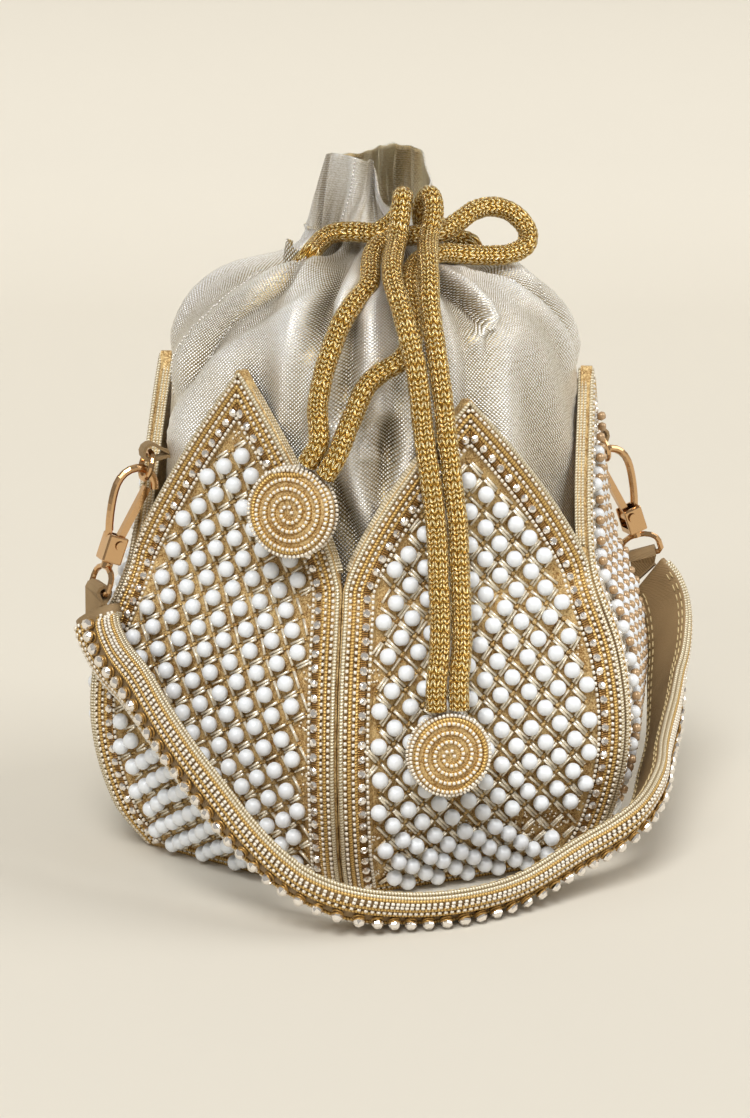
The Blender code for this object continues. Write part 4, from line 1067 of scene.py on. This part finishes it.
# Folds that the photograph shows: the line as (height, azimuth) pairs, its width in mm, how far it
# stands out, and how much steeper its one side is.
FOLDS = (
    (((134, 238), (120, 242), (108, 246), (96, 250)), 3.6, 3.2, 0.4),
    (((128, 233), (116, 237), (104, 241), (95, 244)), 3.0, -4.0, 0.0),
    (((142, 259), (130, 257), (120, 254), (108, 251)), 3.2, 2.6, 0.0),
    (((134, 250), (124, 250), (116, 249)), 3.0, -3.0, 0.0),
    (((172, 236), (168, 228), (163, 219), (155, 206), (147, 196), (136, 187), (120, 181)), 6.0, 2.2, -0.8),
    (((172, 218), (166, 207), (158, 198), (148, 191), (138, 186)), 4.0, -1.6, 0.0),
    (((170, 200), (163, 190), (154, 184), (140, 178)), 6.0, 1.6, 0.3),
    (((171, 228), (166, 225), (158, 223), (146, 222), (130, 221)), 5.0, 2.2, 0.4),
    (((170, 232), (165, 231), (160, 232), (157, 233)), 3.0, -6.5, 0.5),
    (((171, 240), (166, 237), (158, 236), (150, 235), (138, 232)), 3.2, 2.6, 0.0),
    (((160, 240), (152, 240), (143, 239), (133, 238)), 2.6, -3.6, 0.0),
    (((172, 248), (165, 246), (156, 246), (146, 247), (136, 249)), 4.5, 2.4, 0.0),
    (((152, 253), (142, 252), (132, 251), (124, 249)), 3.0, -2.0, 0.0),
    (((140, 240), (131, 243), (125, 247), (123, 252)), 2.8, 1.8, 0.6),
    (((168, 258), (158, 259), (146, 259), (130, 258)), 4.0, -1.8, 0.0),
    (((173, 264), (168, 267), (162, 269), (150, 269), (132, 268)), 4.5, 2.2, 0.2),
    (((173, 270), (170, 275), (166, 279), (162, 282)), 3.4, -4.5, 0.4),
    (((173, 279), (169, 283), (164, 285), (160, 285), (157, 282), (156, 278)), 2.6, 3.0, 0.0),
    (((168, 275), (163, 277), (158, 279)), 2.4, 2.0, 0.0),
    (((156, 287), (146, 285), (134, 284), (120, 283)), 6.0, 1.6, 0.0),
    (((172, 293), (168, 301), (162, 309), (154, 315), (144, 319)), 4.0, 2.2, 0.3),
    (((171, 303), (166, 313), (160, 321), (152, 327)), 3.4, -2.4, 0.0),
    (((170, 318), (163, 327), (154, 333), (142, 337)), 4.5, 2.4, 0.0),
    (((171, 345), (163, 350), (150, 354)), 5.0, 2.0, 0.3),
    (((171, 12), (163, 8), (148, 6)), 5.0, -2.2, 0.0),
    (((171, 30), (163, 34), (150, 38)), 5.0, 2.4, 0.4),
    (((171, 55), (163, 52), (150, 50)), 5.0, -2.0, 0.0),
    (((171, 75), (163, 80), (148, 84)), 5.0, 2.4, 0.0),
    (((171, 100), (163, 97), (150, 95)), 4.5, -2.4, 0.3),
    (((171, 120), (163, 126), (150, 131)), 5.0, 2.2, 0.0),
    (((171, 148), (163, 150), (150, 152)), 5.0, -1.8, 0.0),
    (((171, 165), (163, 168), (148, 170)), 5.0, 2.2, 0.3),
)
# Rows of the mesh as (from, to, count, whether the last is in it), most of them over the shoulder.
POUCH_BANDS = ((3.2, 86, 8, False), (86, 160, 64, False), (160, 179, 20, True))
POUCH_COLUMNS, RUFFLE_ROWS = 240, 18
VIEW_AZIMUTH = 157


def along_fold(line, heights):
    """The fold's azimuth at each height, and how strongly it shows there."""
    pairs = sorted(line)
    zs, turns = [p[0] for p in pairs], [p[1] for p in pairs]
    where = np.interp(heights, zs, turns)
    fade = np.clip((heights - zs[0] + 9) / 14, 0, 1) * np.clip((zs[-1] + 4 - heights) / 5, 0, 1)
    return where, ease(fade)


def turned(degrees):
    """The same turn, between -180 and 180 degrees."""
    return (degrees + 180) % 360 - 180


def bell(distance, width):
    return np.exp(-((distance / width) ** 2))


def fold_relief(heights, turns, radius):
    """How far the cloth stands out, in mm, over a grid of heights and azimuths in degrees."""
    relief = np.zeros((len(heights), len(turns)))
    for line, width, rise, lean in FOLDS:
        where, strength = along_fold(line, heights)
        off = np.radians(turned(turns[None] - where[:, None])) * radius / width
        off = off * (1 + lean * np.sign(off))
        relief += rise * strength[:, None] * np.exp(-(off**2) * 1.6)
    return relief


turns = VIEW_AZIMUTH + 360 * np.arange(POUCH_COLUMNS) / POUCH_COLUMNS
A = np.radians(turns)[None]
heights = np.concatenate([np.linspace(*band) for band in POUCH_BANDS])
H = heights[:, None]
front, back, corner = (
    np.array([read_curve([(key[0], key[i]) for key in POUCH_KEYS], z) for z in heights])[:, None]
    for i in (1, 2, 3)
)
behind = ease(np.clip(0.15 + 1.1 * np.cos(A - math.radians(66.9)), 0, 1))
mean = front * (1 - behind) + back * behind
print("pouch plan", len(heights), "heights,", len(FOLDS), "folds")

# %% Gathers, pleats and the body
loose = np.clip((H - 92) / 20, 0, 1)
near_neck = np.where(H < 178, bell(H - 174, 9), bell(H - 178, 4))
gathers = 1 - np.abs(np.sin(9 * A + 0.9 * np.sin(2 * A + 1) + 0.4 * np.sin(5 * A)))
pleats = 0.5 + 0.5 * np.sin(31 * A + 1.2 * np.sin(3 * A))
puckers = np.sin(H * 2.35 + 2.2 * np.sin(7 * A + H * 0.05)) * np.sin(19 * A + H * 0.11)
puckered_side = bell(turned(turns - 300)[None], 22) * bell(H - 142, 22)
soft = 0.9 * np.sin(5 * A + H * 0.03 + 1.0) + 0.8 * np.sin(8 * A - H * 0.05)
soft += 0.5 * np.sin(15 * A + H * 0.12)
relief = 1.35 * fold_relief(heights, turns, mean) * loose + loose * soft * np.clip((176 - H) / 14, 0, 1)
relief += near_neck * (3.0 * (gathers - 0.35) + 1.2 * (pleats - 0.5))
relief += (0.12 + 0.35 * puckered_side) * puckers * loose * (H < 172)
relief += 4.2 * bell(turned(turns - VIEW_AZIMUTH)[None], 34) * np.clip((H - 172) / 4, 0, 1)
radius = mean * (1 + corner * (1 - np.cos(SIDES * (A - HALF_SIDE))) / 2) + relief
# The cloth rises where the left cord runs into the casing.
tuck = 5.0 * bell(turned(turns - 212)[None], 12) * bell(H - 170.4, 2.2)
rise = H + tuck + 0.35 * relief * np.clip((H - 155) / 12, 0, 1)
body = np.stack([radius * np.cos(A), radius * np.sin(A), rise], axis=2)
print("folds stand out", round(float(relief.max()), 1), "mm at most")

# %% [markdown]
# ## The ruffle
# Above the cord the cloth stands up in a loop that bends in and out, and its bends open as it rises.
# So three loops, one over the other, are drawn from above, and a smooth surface is run from the neck
# through all three.

# %% Raise the ruffle
# Each loop, clockwise from its left end as the camera sees it: mm to the right and mm away, and at
# the top each place's height.
RUFFLE_LOW = """-19 0, -16.5 -6.5, -12 -10, -6.5 -11.6, 0 -11, 5.5 -11.6, 10 -9.8, 13.6 -5.5, 15.6 0, 13.5 6,
10 9.5, 5 11.5, 0 12, -6 11.5, -12 9.5, -16.5 5.5"""
RUFFLE_MID = """-17 0, -15.4 -5, -10 -9.4, -3.4 -9, -0.6 -1.5, 2 -7.2, 7 -9.8, 13 -6.5, 16.8 0, 14.4 5.5,
9 8.4, 4 9.4, 0 10.5, -6 10.4, -11 8.4, -15 4"""
RUFFLE_TOP = """-13.8 0.5 200.5, -13.2 -4 202, -8.4 -7 201.8, -2.2 -6.8 200, -0.6 2 199, 1.2 -4.5 190,
5 -8.6 186.5, 12.4 -6.6 188.5, 16 -1 193.5, 13.6 4 201.5, 9.6 5.6 203, 4.4 4.4 203.8, 0.4 6.6 202.5,
-4 9 200.5, -9 7.6 200.5, -12.6 4.5 200"""
RIGHT, AWAY = np.array((0.9195, -0.3931, 0.0)), np.array((0.3931, 0.9195, 0.0))


def ruffle_loop(text, size):
    """A closed smooth loop through the plan's points, read at evenly spaced places."""
    points = numbers_of(text)
    wide = np.vstack([points[-3:], points, points[:3]])
    places = np.arange(size) / size * len(points) + 3
    keys = [list(enumerate(wide[:, k])) for k in range(points.shape[1])]
    return np.array([[read_curve(k, x) for k in keys] for x in places])


def seen(x, y, z):
    """Places from lengths to the camera's right, away from it, and up."""
    return RIGHT * x[:, None] + AWAY * y[:, None] + UP * z[:, None]


loops = [ruffle_loop(text, POUCH_COLUMNS) for text in (RUFFLE_LOW, RUFFLE_MID, RUFFLE_TOP)]
top = loops[2][:, 2]
levels = [np.full(POUCH_COLUMNS, 182.0), 182 + (top - 182) * 0.48, top]
stages = np.array([body[-1]] + [seen(loop[:, 0], loop[:, 1], level) for loop, level in zip(loops, levels)])
ruffle = []
for step in np.linspace(0, 3, RUFFLE_ROWS + 1)[1:]:
    i = int(min(step, 2.999))
    t = step - i
    before, after = stages[max(i - 1, 0)], stages[min(i + 2, 3)]
    a, b = stages[i], stages[i + 1]
    bend = (b - before) / 2 * t * (1 - t) ** 2 + (after - a) / 2 * t * t * (t - 1)
    ruffle.append(a * ease(1 - t) + b * ease(t) + bend)
ruffle = np.array(ruffle)
flute = np.linspace(0, 1, RUFFLE_ROWS)[:, None]
wave = 0.8 * (1 - flute) * np.sin(31 * A) + 0.35 * np.sin(17 * A + 2.0 * flute)
ruffle += unit(ruffle - ruffle.mean(axis=1, keepdims=True)) * wave[:, :, None]
print("ruffle stands", round(float(top.max() - 179)), "mm over the neck")

# %% [markdown]
# ## The cloth
# The cords draw the neck in, so the cloth gives way to them. The weave is drawn from the cloth's own
# UV map in millimetres: two crossing waves leave rows of bright dots, and slubs vary them. Painted shade
# darkens the folds' valleys and painted highlight lightens their ridges, and the cloth's reverse shows
# more of the golden warp.


# %% Tissue finish
def tissue(name, stops):
    """Silver weft over a gold warp: rows of dots 1.1 mm apart. An attribute paints shade in the folds and
    highlight on their ridges.
    """
    mat, shader = new_finish(name, "CFC8B8", Roughness=0.34, Metallic=0.72)
    uv = add_node(mat, "ShaderNodeUVMap", uv_map="UVMap")
    weave = []
    for way in (1.0, -1.0):
        crossed = add_node(mat, "ShaderNodeMapping", {"Vector": uv, "Scale": (way, 1.0, 1.0)})
        wave = {"Vector": crossed, "Scale": 0.56, "Distortion": 0.5, "Detail": 1.0, "Detail Scale": 2.0}
        weave.append(add_node(mat, "ShaderNodeTexWave", wave, output="Fac", bands_direction="DIAGONAL"))
    grid = add_node(mat, MATH, {0: weave[0], 1: weave[1]}, operation="MULTIPLY")
    stretched = add_node(mat, "ShaderNodeMapping", {"Vector": uv, "Scale": (0.25, 1.3, 1.0)})
    slub = add_node(mat, "ShaderNodeTexNoise", {"Vector": stretched, "Scale": 1.3, "Detail": 4.0})
    streaks = add_node(mat, MATH, {0: slub, 1: 0.42}, operation="MULTIPLY")
    # Painted shade and highlight: the attribute is darker in the folds' valleys and lighter on their ridges.
    painted_fold_shade = add_node(mat, "ShaderNodeAttribute", output="Fac", attribute_name="painted_fold_shade")
    cloth = add_node(mat, MATH, {0: grid, 1: 1.1, 2: streaks}, operation="MULTIPLY_ADD")
    mix = add_node(mat, MATH, {0: painted_fold_shade, 1: 0.5, 2: cloth}, operation="MULTIPLY_ADD")
    tone = add_node(mat, "ShaderNodeValToRGB", {"Fac": mix}, stops=stops)
    dress(mat, shader, tone, add_node(mat, "ShaderNodeBump", {"Height": cloth, "Distance": 0.0002}))
    return mat


# The dark stops carry the painted fold shade, the light ones the painted highlight on ridges and the weave's
# bright dots.
TISSUE = tissue("metallic_tissue", ((0.26, "544120"), (0.45, "9C8A60"), (0.66, "DAD2C1"), (0.94, "FFFFFF")))
REVERSE = tissue("tissue_reverse", ((0.26, "6A5026"), (0.42, "C2A368"), (0.6, "F0DCAA"), (0.85, "FFF6DA")))
print("tissue ready")

# %% Press the cords in and lay the cloth
CORD_ROOM, CLOTH_WIDTH = 3.3, 390
shell = np.concatenate([body, ruffle])
cords = np.vstack([route[28::2] for route in routes.values()]) / MM
cords = cords[cords[:, 2] > 100]
for ring in shell:
    near = np.linalg.norm(ring[:, None] - cords[None], axis=2).min(axis=1)
    ring -= unit(ring - UP * ring[:, 2:] * 0.8) * np.clip(CORD_ROOM - near, 0, 3)[:, None]
# Painted shade and highlight: darker in the folds' valleys, lighter on their ridges, striped over the
# ruffle's flutes.
painted_fold_shade = np.concatenate([relief * 0.11, 0.3 * (wave + np.sin(5 * A + 3 * flute))])
painted_fold_shade = np.clip(0.5 + painted_fold_shade, 0, 1).reshape(-1)
upward = np.concatenate([[0], np.cumsum(np.linalg.norm(np.diff(shell, axis=0), axis=2).mean(axis=1))])
around = np.arange(POUCH_COLUMNS + 1) * CLOTH_WIDTH / POUCH_COLUMNS
faces = tube_faces(len(shell), POUCH_COLUMNS) + [tuple(reversed(range(POUCH_COLUMNS)))]
uvs = [(u, v) for v, u in tube_uvs(upward, around)] + [(0, 0)] * POUCH_COLUMNS
print("cloth", len(faces), "faces before its thickness")

# %% Curl the casing's end and give the cloth its thickness
EAR_ROWS, EAR_POINTS = 9, 16
curl = np.radians(np.linspace(100, 380, EAR_POINTS))
ear = []
for v in np.linspace(0, 1, EAR_ROWS):
    size = 3.2 - 0.9 * v
    x, y = -24.6 + 1.2 * v + size * np.cos(curl), -9.0 - 1.5 * v + size * np.sin(curl)
    ear.append(seen(x, y, 165 + (11.4 + 1.6 * np.sin(curl - 1.2)) * v))
base = shell.shape[0] * shell.shape[1]
for i in range(EAR_ROWS - 1):
    for j in range(EAR_POINTS - 1):
        a = base + i * EAR_POINTS + j
        faces.append((a, a + 1, a + EAR_POINTS + 1, a + EAR_POINTS))
        uvs += [(j, i), (j + 1, i), (j + 1, i + 1), (j, i + 1)]
# The casing's curled end gets painted shade, darker than the open cloth.
painted_fold_shade = np.concatenate([painted_fold_shade, np.full(EAR_ROWS * EAR_POINTS, 0.25)])
points = np.vstack([shell.reshape(-1, 3), np.vstack(ear)])
pouch = add_piece("pouch", points * MM, faces, TISSUE, "bag", uv=uvs)
pouch.data.attributes.new("painted_fold_shade", "FLOAT", "POINT").data.foreach_set("value", painted_fold_shade)
pouch.data.materials.append(REVERSE)
cloth = pouch.modifiers.new("cloth", "SOLIDIFY")
cloth.thickness, cloth.offset, cloth.material_offset = 0.5 * MM, -1, 1
bpy.context.view_layer.objects.active = pouch
bpy.ops.object.modifier_apply(modifier="cloth")
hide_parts("pouch")
print("pouch faces", len(pouch.data.polygons))

# %% [markdown]
# ## Stitching
# Fine lines of running stitch in silver thread cross the shoulder and the ruffle. A stitch is a short
# dash, and the dashes follow the cloth's own points, so they bend with its folds.

# %% Stitch the pouch
# (height, azimuth) along each line, and which columns of the ruffle are stitched.
STITCH_LINES = (
    ((170, 181), (164.5, 187), (155.8, 183.5), (146, 178.5), (133, 173.5)),
    ((171.3, 213), (168, 203.5), (161.3, 198.5), (146, 190)),
    ((165, 322), (156, 324), (146, 326)),
)
RUFFLE_SEAMS = (0.155, 0.25)
SHOULDER, STITCH_STEP = 55 * MM, 1.15 * MM
tracks = []
for line in STITCH_LINES:
    line = np.array([(z * MM, math.radians(turn) * SHOULDER, 0.0) for z, turn in line])
    line = smooth_line(line, 0.25 * MM)
    rows = np.interp(line[:, 0] / MM, heights, np.arange(len(heights))).round().astype(int)
    columns = (np.degrees(line[:, 1] / SHOULDER) - VIEW_AZIMUTH) / 360 * POUCH_COLUMNS
    tracks.append(body[rows, columns.round().astype(int) % POUCH_COLUMNS])
tracks += [ruffle[4:, int(POUCH_COLUMNS * share)] for share in RUFFLE_SEAMS]
places = np.vstack([even_steps(track * MM, STITCH_STEP)[0] for track in tracks])
outward = unit(places * (1, 1, 0.2))
ways = np.cross(outward, np.cross(UP, outward))
dash = tube_bead(0.2 * MM, 0.8 * MM, 6)
copy_model("pouch_stitching", dash, places + outward * 0.15 * MM, ways, outward, SILVER_THREAD, "bag")
print("stitches", len(places))

# %% [markdown]
# ## The handle
# The handle is a padded strip lined with the same twill. From each edge in, its crowned face carries
# two silver-beige cords, gold cord, two rows of seeds, gold cord, a row of seeds and gold cord, with
# a chain of rhinestones on gilt wire loops along the crown. It is one strip of one section swept
# along a curve, and every trimming is laid by the same two numbers: how far along, and how far round.

# %% The handle's curve
# Each station: its place in mm, and the azimuth and elevation that its beaded face looks to.
STRAP = """-87.46 -3.2 73.26 206 0, -87.4 -6.7 68.6 206 -4, -86.8 -16.1 63.5 206 -10,
-84.2 -29.0 58.5 208 -20,
-81.1 -41.3 50.5 212 -32, -75.7 -55.0 39.5 221 -42, -67.9 -67.9 27 232 -50, -58.7 -79.4 17 240 -56,
-47.1 -88.5 11 248 -60, -32.2 -91.1 7.8 256 -62, -16.4 -93.3 7.2 264 -62, 1.6 -91.3 8.2 275 -60,
20.2 -87.6 13 290 -54, 39.3 -84.2 19 306 -47, 52.4 -73.5 23.6 323 -40, 61.8 -59.7 27.5 344 -32,
74.3 -41.9 32.6 368 -20, 83.2 -28.0 40 382 -12, 90.2 -17.4 48.5 393 -6, 93.8 -9.4 56.5 402 -3,
93.5 -4.9 62.5 407 0, 91.26 -1.2 66.06 410 0"""
HALF_STRAP, STRAP_EDGE, STRAP_CROWN = 8.0, 1.6, 5.5
TURN = math.radians(10)
stations = numbers_of(STRAP)
looks = np.array([facing(azimuth, elevation) for azimuth, elevation in stations[:, 3:]])
strap = smooth_line(np.hstack([stations[:, :3] * MM, looks]), 0.8 * MM)
middle = strap[:, :3]
along = unit(np.gradient(middle, axis=0))
looks = unit(strap[:, 3:] - along * np.sum(strap[:, 3:] * along, axis=1)[:, None])
across = np.cross(along, looks)
turned_looks = looks * math.cos(TURN) - across * math.sin(TURN)
across, looks = across * math.cos(TURN) + looks * math.sin(TURN), turned_looks
strap_run = run_of(middle)


def strap_frame(run):
    """The strap's middle, and the ways along it, across it and out of its face."""
    for values in (middle, along, across, looks):
        yield np.stack([np.interp(run, strap_run, values[:, k]) for k in range(3)], axis=1)


def on_strap(run, turn, lift):
    """Places on the beaded side, ways along and normals. turn: degrees round the crown, 90 on top."""
    angle, crown = math.radians(turn), STRAP_CROWN - STRAP_EDGE
    x, height = HALF_STRAP * math.cos(angle), STRAP_EDGE + crown * math.sin(angle)
    place, way, side, look = strap_frame(run)
    normal = unit(side * math.cos(angle) / HALF_STRAP + look * math.sin(angle) / crown)
    return place + side * x * MM + look * height * MM + normal * lift * MM, unit(way), normal


print("handle length", round(strap_run[-1] / MM), "mm")

# %% Sweep the padded strip
# (across, out) in mm round the section: the flat lining, then the crown.
section = [(-8.0, 0.25), (-7.4, 0.0), (-4, 0.0), (0, 0.0), (4, 0.0), (7.4, 0.0), (8.0, 0.25), (8.0, 1.5)]
steps = [math.pi * i / 12 for i in range(1, 12)]
section += [(7.8 * math.cos(step), STRAP_EDGE + 3.65 * math.sin(step)) for step in steps]
section.append((-8.0, 1.5))
frames = zip(middle[::2], across[::2], looks[::2])
rings = [[place + side * x * MM + look * h * MM for x, h in section] for place, side, look in frames]
rows, size = len(rings), len(section)
faces = tube_faces(rows, size) + end_caps(rows, size)
uvs = tube_uvs(np.arange(rows), np.arange(size + 1)) + [(0, 0)] * (2 * size)
handle = add_piece("handle_strap", np.vstack(rings), faces, LINING, "handle", uv=uvs)
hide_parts("handle_strap")
print("strip faces", len(faces))

# %% Bead the handle
CORD_TURNS = {"edge_cords": (-12, 6, 174, 192), "gold_cords": (17, 48, 66, 114, 132, 163)}
SEED_TURNS = (27, 38, 57, 123, 142, 153)
STONE_TURN = 95
ends = (2.5 * MM, strap_run[-1] - 2.5 * MM)
fine = np.arange(*ends, 0.8 * MM)
for key, radius, finish in (("edge_cords", 0.6, SILVER_GOLD_CORD), ("gold_cords", 0.5, GOLD_CORD)):
    laid = [on_strap(fine, turn, 0.1)[::2] for turn in CORD_TURNS[key]]
    sweep_cords(f"handle_{key}", laid, radius * MM, finish, "handle")
beads = np.arange(*ends, 1.58 * MM)
places, ways, ups = stacked([on_strap(beads, turn, 0.35) for turn in SEED_TURNS])
copy_model("handle_seeds", LONG_SEED, places, jitter(ways, 0.06), ups, SEED_GLASS, "handle")
stones = np.arange(ends[0] + 2 * MM, ends[1], 4.7 * MM)
places, ways, ups = on_strap(stones, STONE_TURN, 1.75)
stone = cut_stone(1.7 * MM, 1.5 * MM)
copy_model("handle_stones", stone, places, jitter(ways, 0.2), ups, CRYSTAL, "handle", smooth=False)
print(len(beads) * len(SEED_TURNS), "seeds and", len(stones), "stones")


# %% Loops under the stones, and the lining's stitches
def wire_loop(radius, wire):
    """A loop of gilt wire that holds a stone up on the strap."""
    sizes = {"major_radius": radius, "minor_radius": wire, "major_segments": 10, "minor_segments": 4}
    return model_of(edit_new(lambda: bpy.ops.mesh.primitive_torus_add(**sizes)))


loop = wire_loop(1.5 * MM, 0.42 * MM)
places, ways, ups = stacked([on_strap(stones, STONE_TURN, lift) for lift in (0.45, 1.2)])
copy_model("handle_stone_cups", loop, places, jitter(ways, 0.2), ups, STONE_CUP, "handle")
stitches = np.arange(*ends, 3.0 * MM)
place, way, side, look = strap_frame(stitches)
places = np.vstack([place + side * x * MM - look * 0.1 * MM for x in (-6.9, 6.9, -5.5, 5.5)])
thread = tube_bead(0.22 * MM, 2.1 * MM, 6)
ways, ups = np.tile(unit(way), (4, 1)), np.tile(-look, (4, 1))
copy_model("handle_stitches", thread, places, ways, ups, SEWING_THREAD, "handle")
print(len(places), "stitches in the lining")

# %% [markdown]
# ## Table and light
# The bag stands on pale paper that curves up behind it. Broad soft lights leave gentle shadows, as in
# the photograph, and small bright ones give the stones and plating something to reflect.

# %% Stage
bpy.ops.mesh.primitive_plane_add(size=1)
floor = bpy.context.active_object
floor.name = "paper"
bpy.ops.object.mode_set(mode="EDIT")
bpy.ops.mesh.select_all(action="SELECT")
bpy.ops.transform.resize(value=(8, 3, 1))
bpy.ops.transform.translate(value=(0, -0.6, 0))
bpy.ops.mesh.select_all(action="DESELECT")
bpy.ops.object.mode_set(mode="OBJECT")
for height, back in ((0.012, 0.12), (0.05, 0.11), (0.11, 0.09), (0.19, 0.06), (1.8, 0.1)):
    far = max(v.co.y for v in floor.data.vertices)
    choose(floor, lambda co: co.y > far - 1e-4)
    bpy.context.tool_settings.mesh_select_mode = (False, True, False)
    bpy.ops.mesh.extrude_region_move(TRANSFORM_OT_translate={"value": (0, back, height)})
    bpy.ops.mesh.select_all(action="DESELECT")
    bpy.ops.object.mode_set(mode="OBJECT")
floor.rotation_euler.z = math.radians(-23)
bpy.ops.object.shade_smooth()
paper, _ = new_finish("warm_white_paper", "D4CEC1", Roughness=0.85)
floor.data.materials.append(paper)

scene = bpy.context.scene
scene.view_settings.view_transform = "Standard"
world = scene.world or bpy.data.worlds.new("sky")
scene.world = world
world.use_nodes = True
sky = world.node_tree.nodes["Background"].inputs
sky["Color"].default_value, sky["Strength"].default_value = colour("F4F1EC"), 0.31


def soft_light(name, place, size, power, target=(0, 0, 0.08)):
    bpy.ops.object.light_add(type="AREA")
    light = bpy.context.active_object
    light.name = name
    light.data.shape = "DISK"
    light.data.size = size
    light.data.energy = power
    aim(light, place, target)


def broad_sun(name, direction, strength, spread):
    bpy.ops.object.light_add(type="SUN")
    light = bpy.context.active_object
    light.name = name
    light.data.energy = strength
    light.data.angle = math.radians(spread)
    aim(light, direction, (0, 0, 0))


broad_sun("key", (-0.5, -0.75, 1.2), 2.3, 28)
broad_sun("fill", (0.95, -0.4, 0.8), 1.0, 40)
soft_light("glint_left", (-1.6, -1.3, 1.5), 0.5, 7.0)
soft_light("glint_right", (1.3, -1.6, 1.9), 0.4, 4.0)
print("lit")
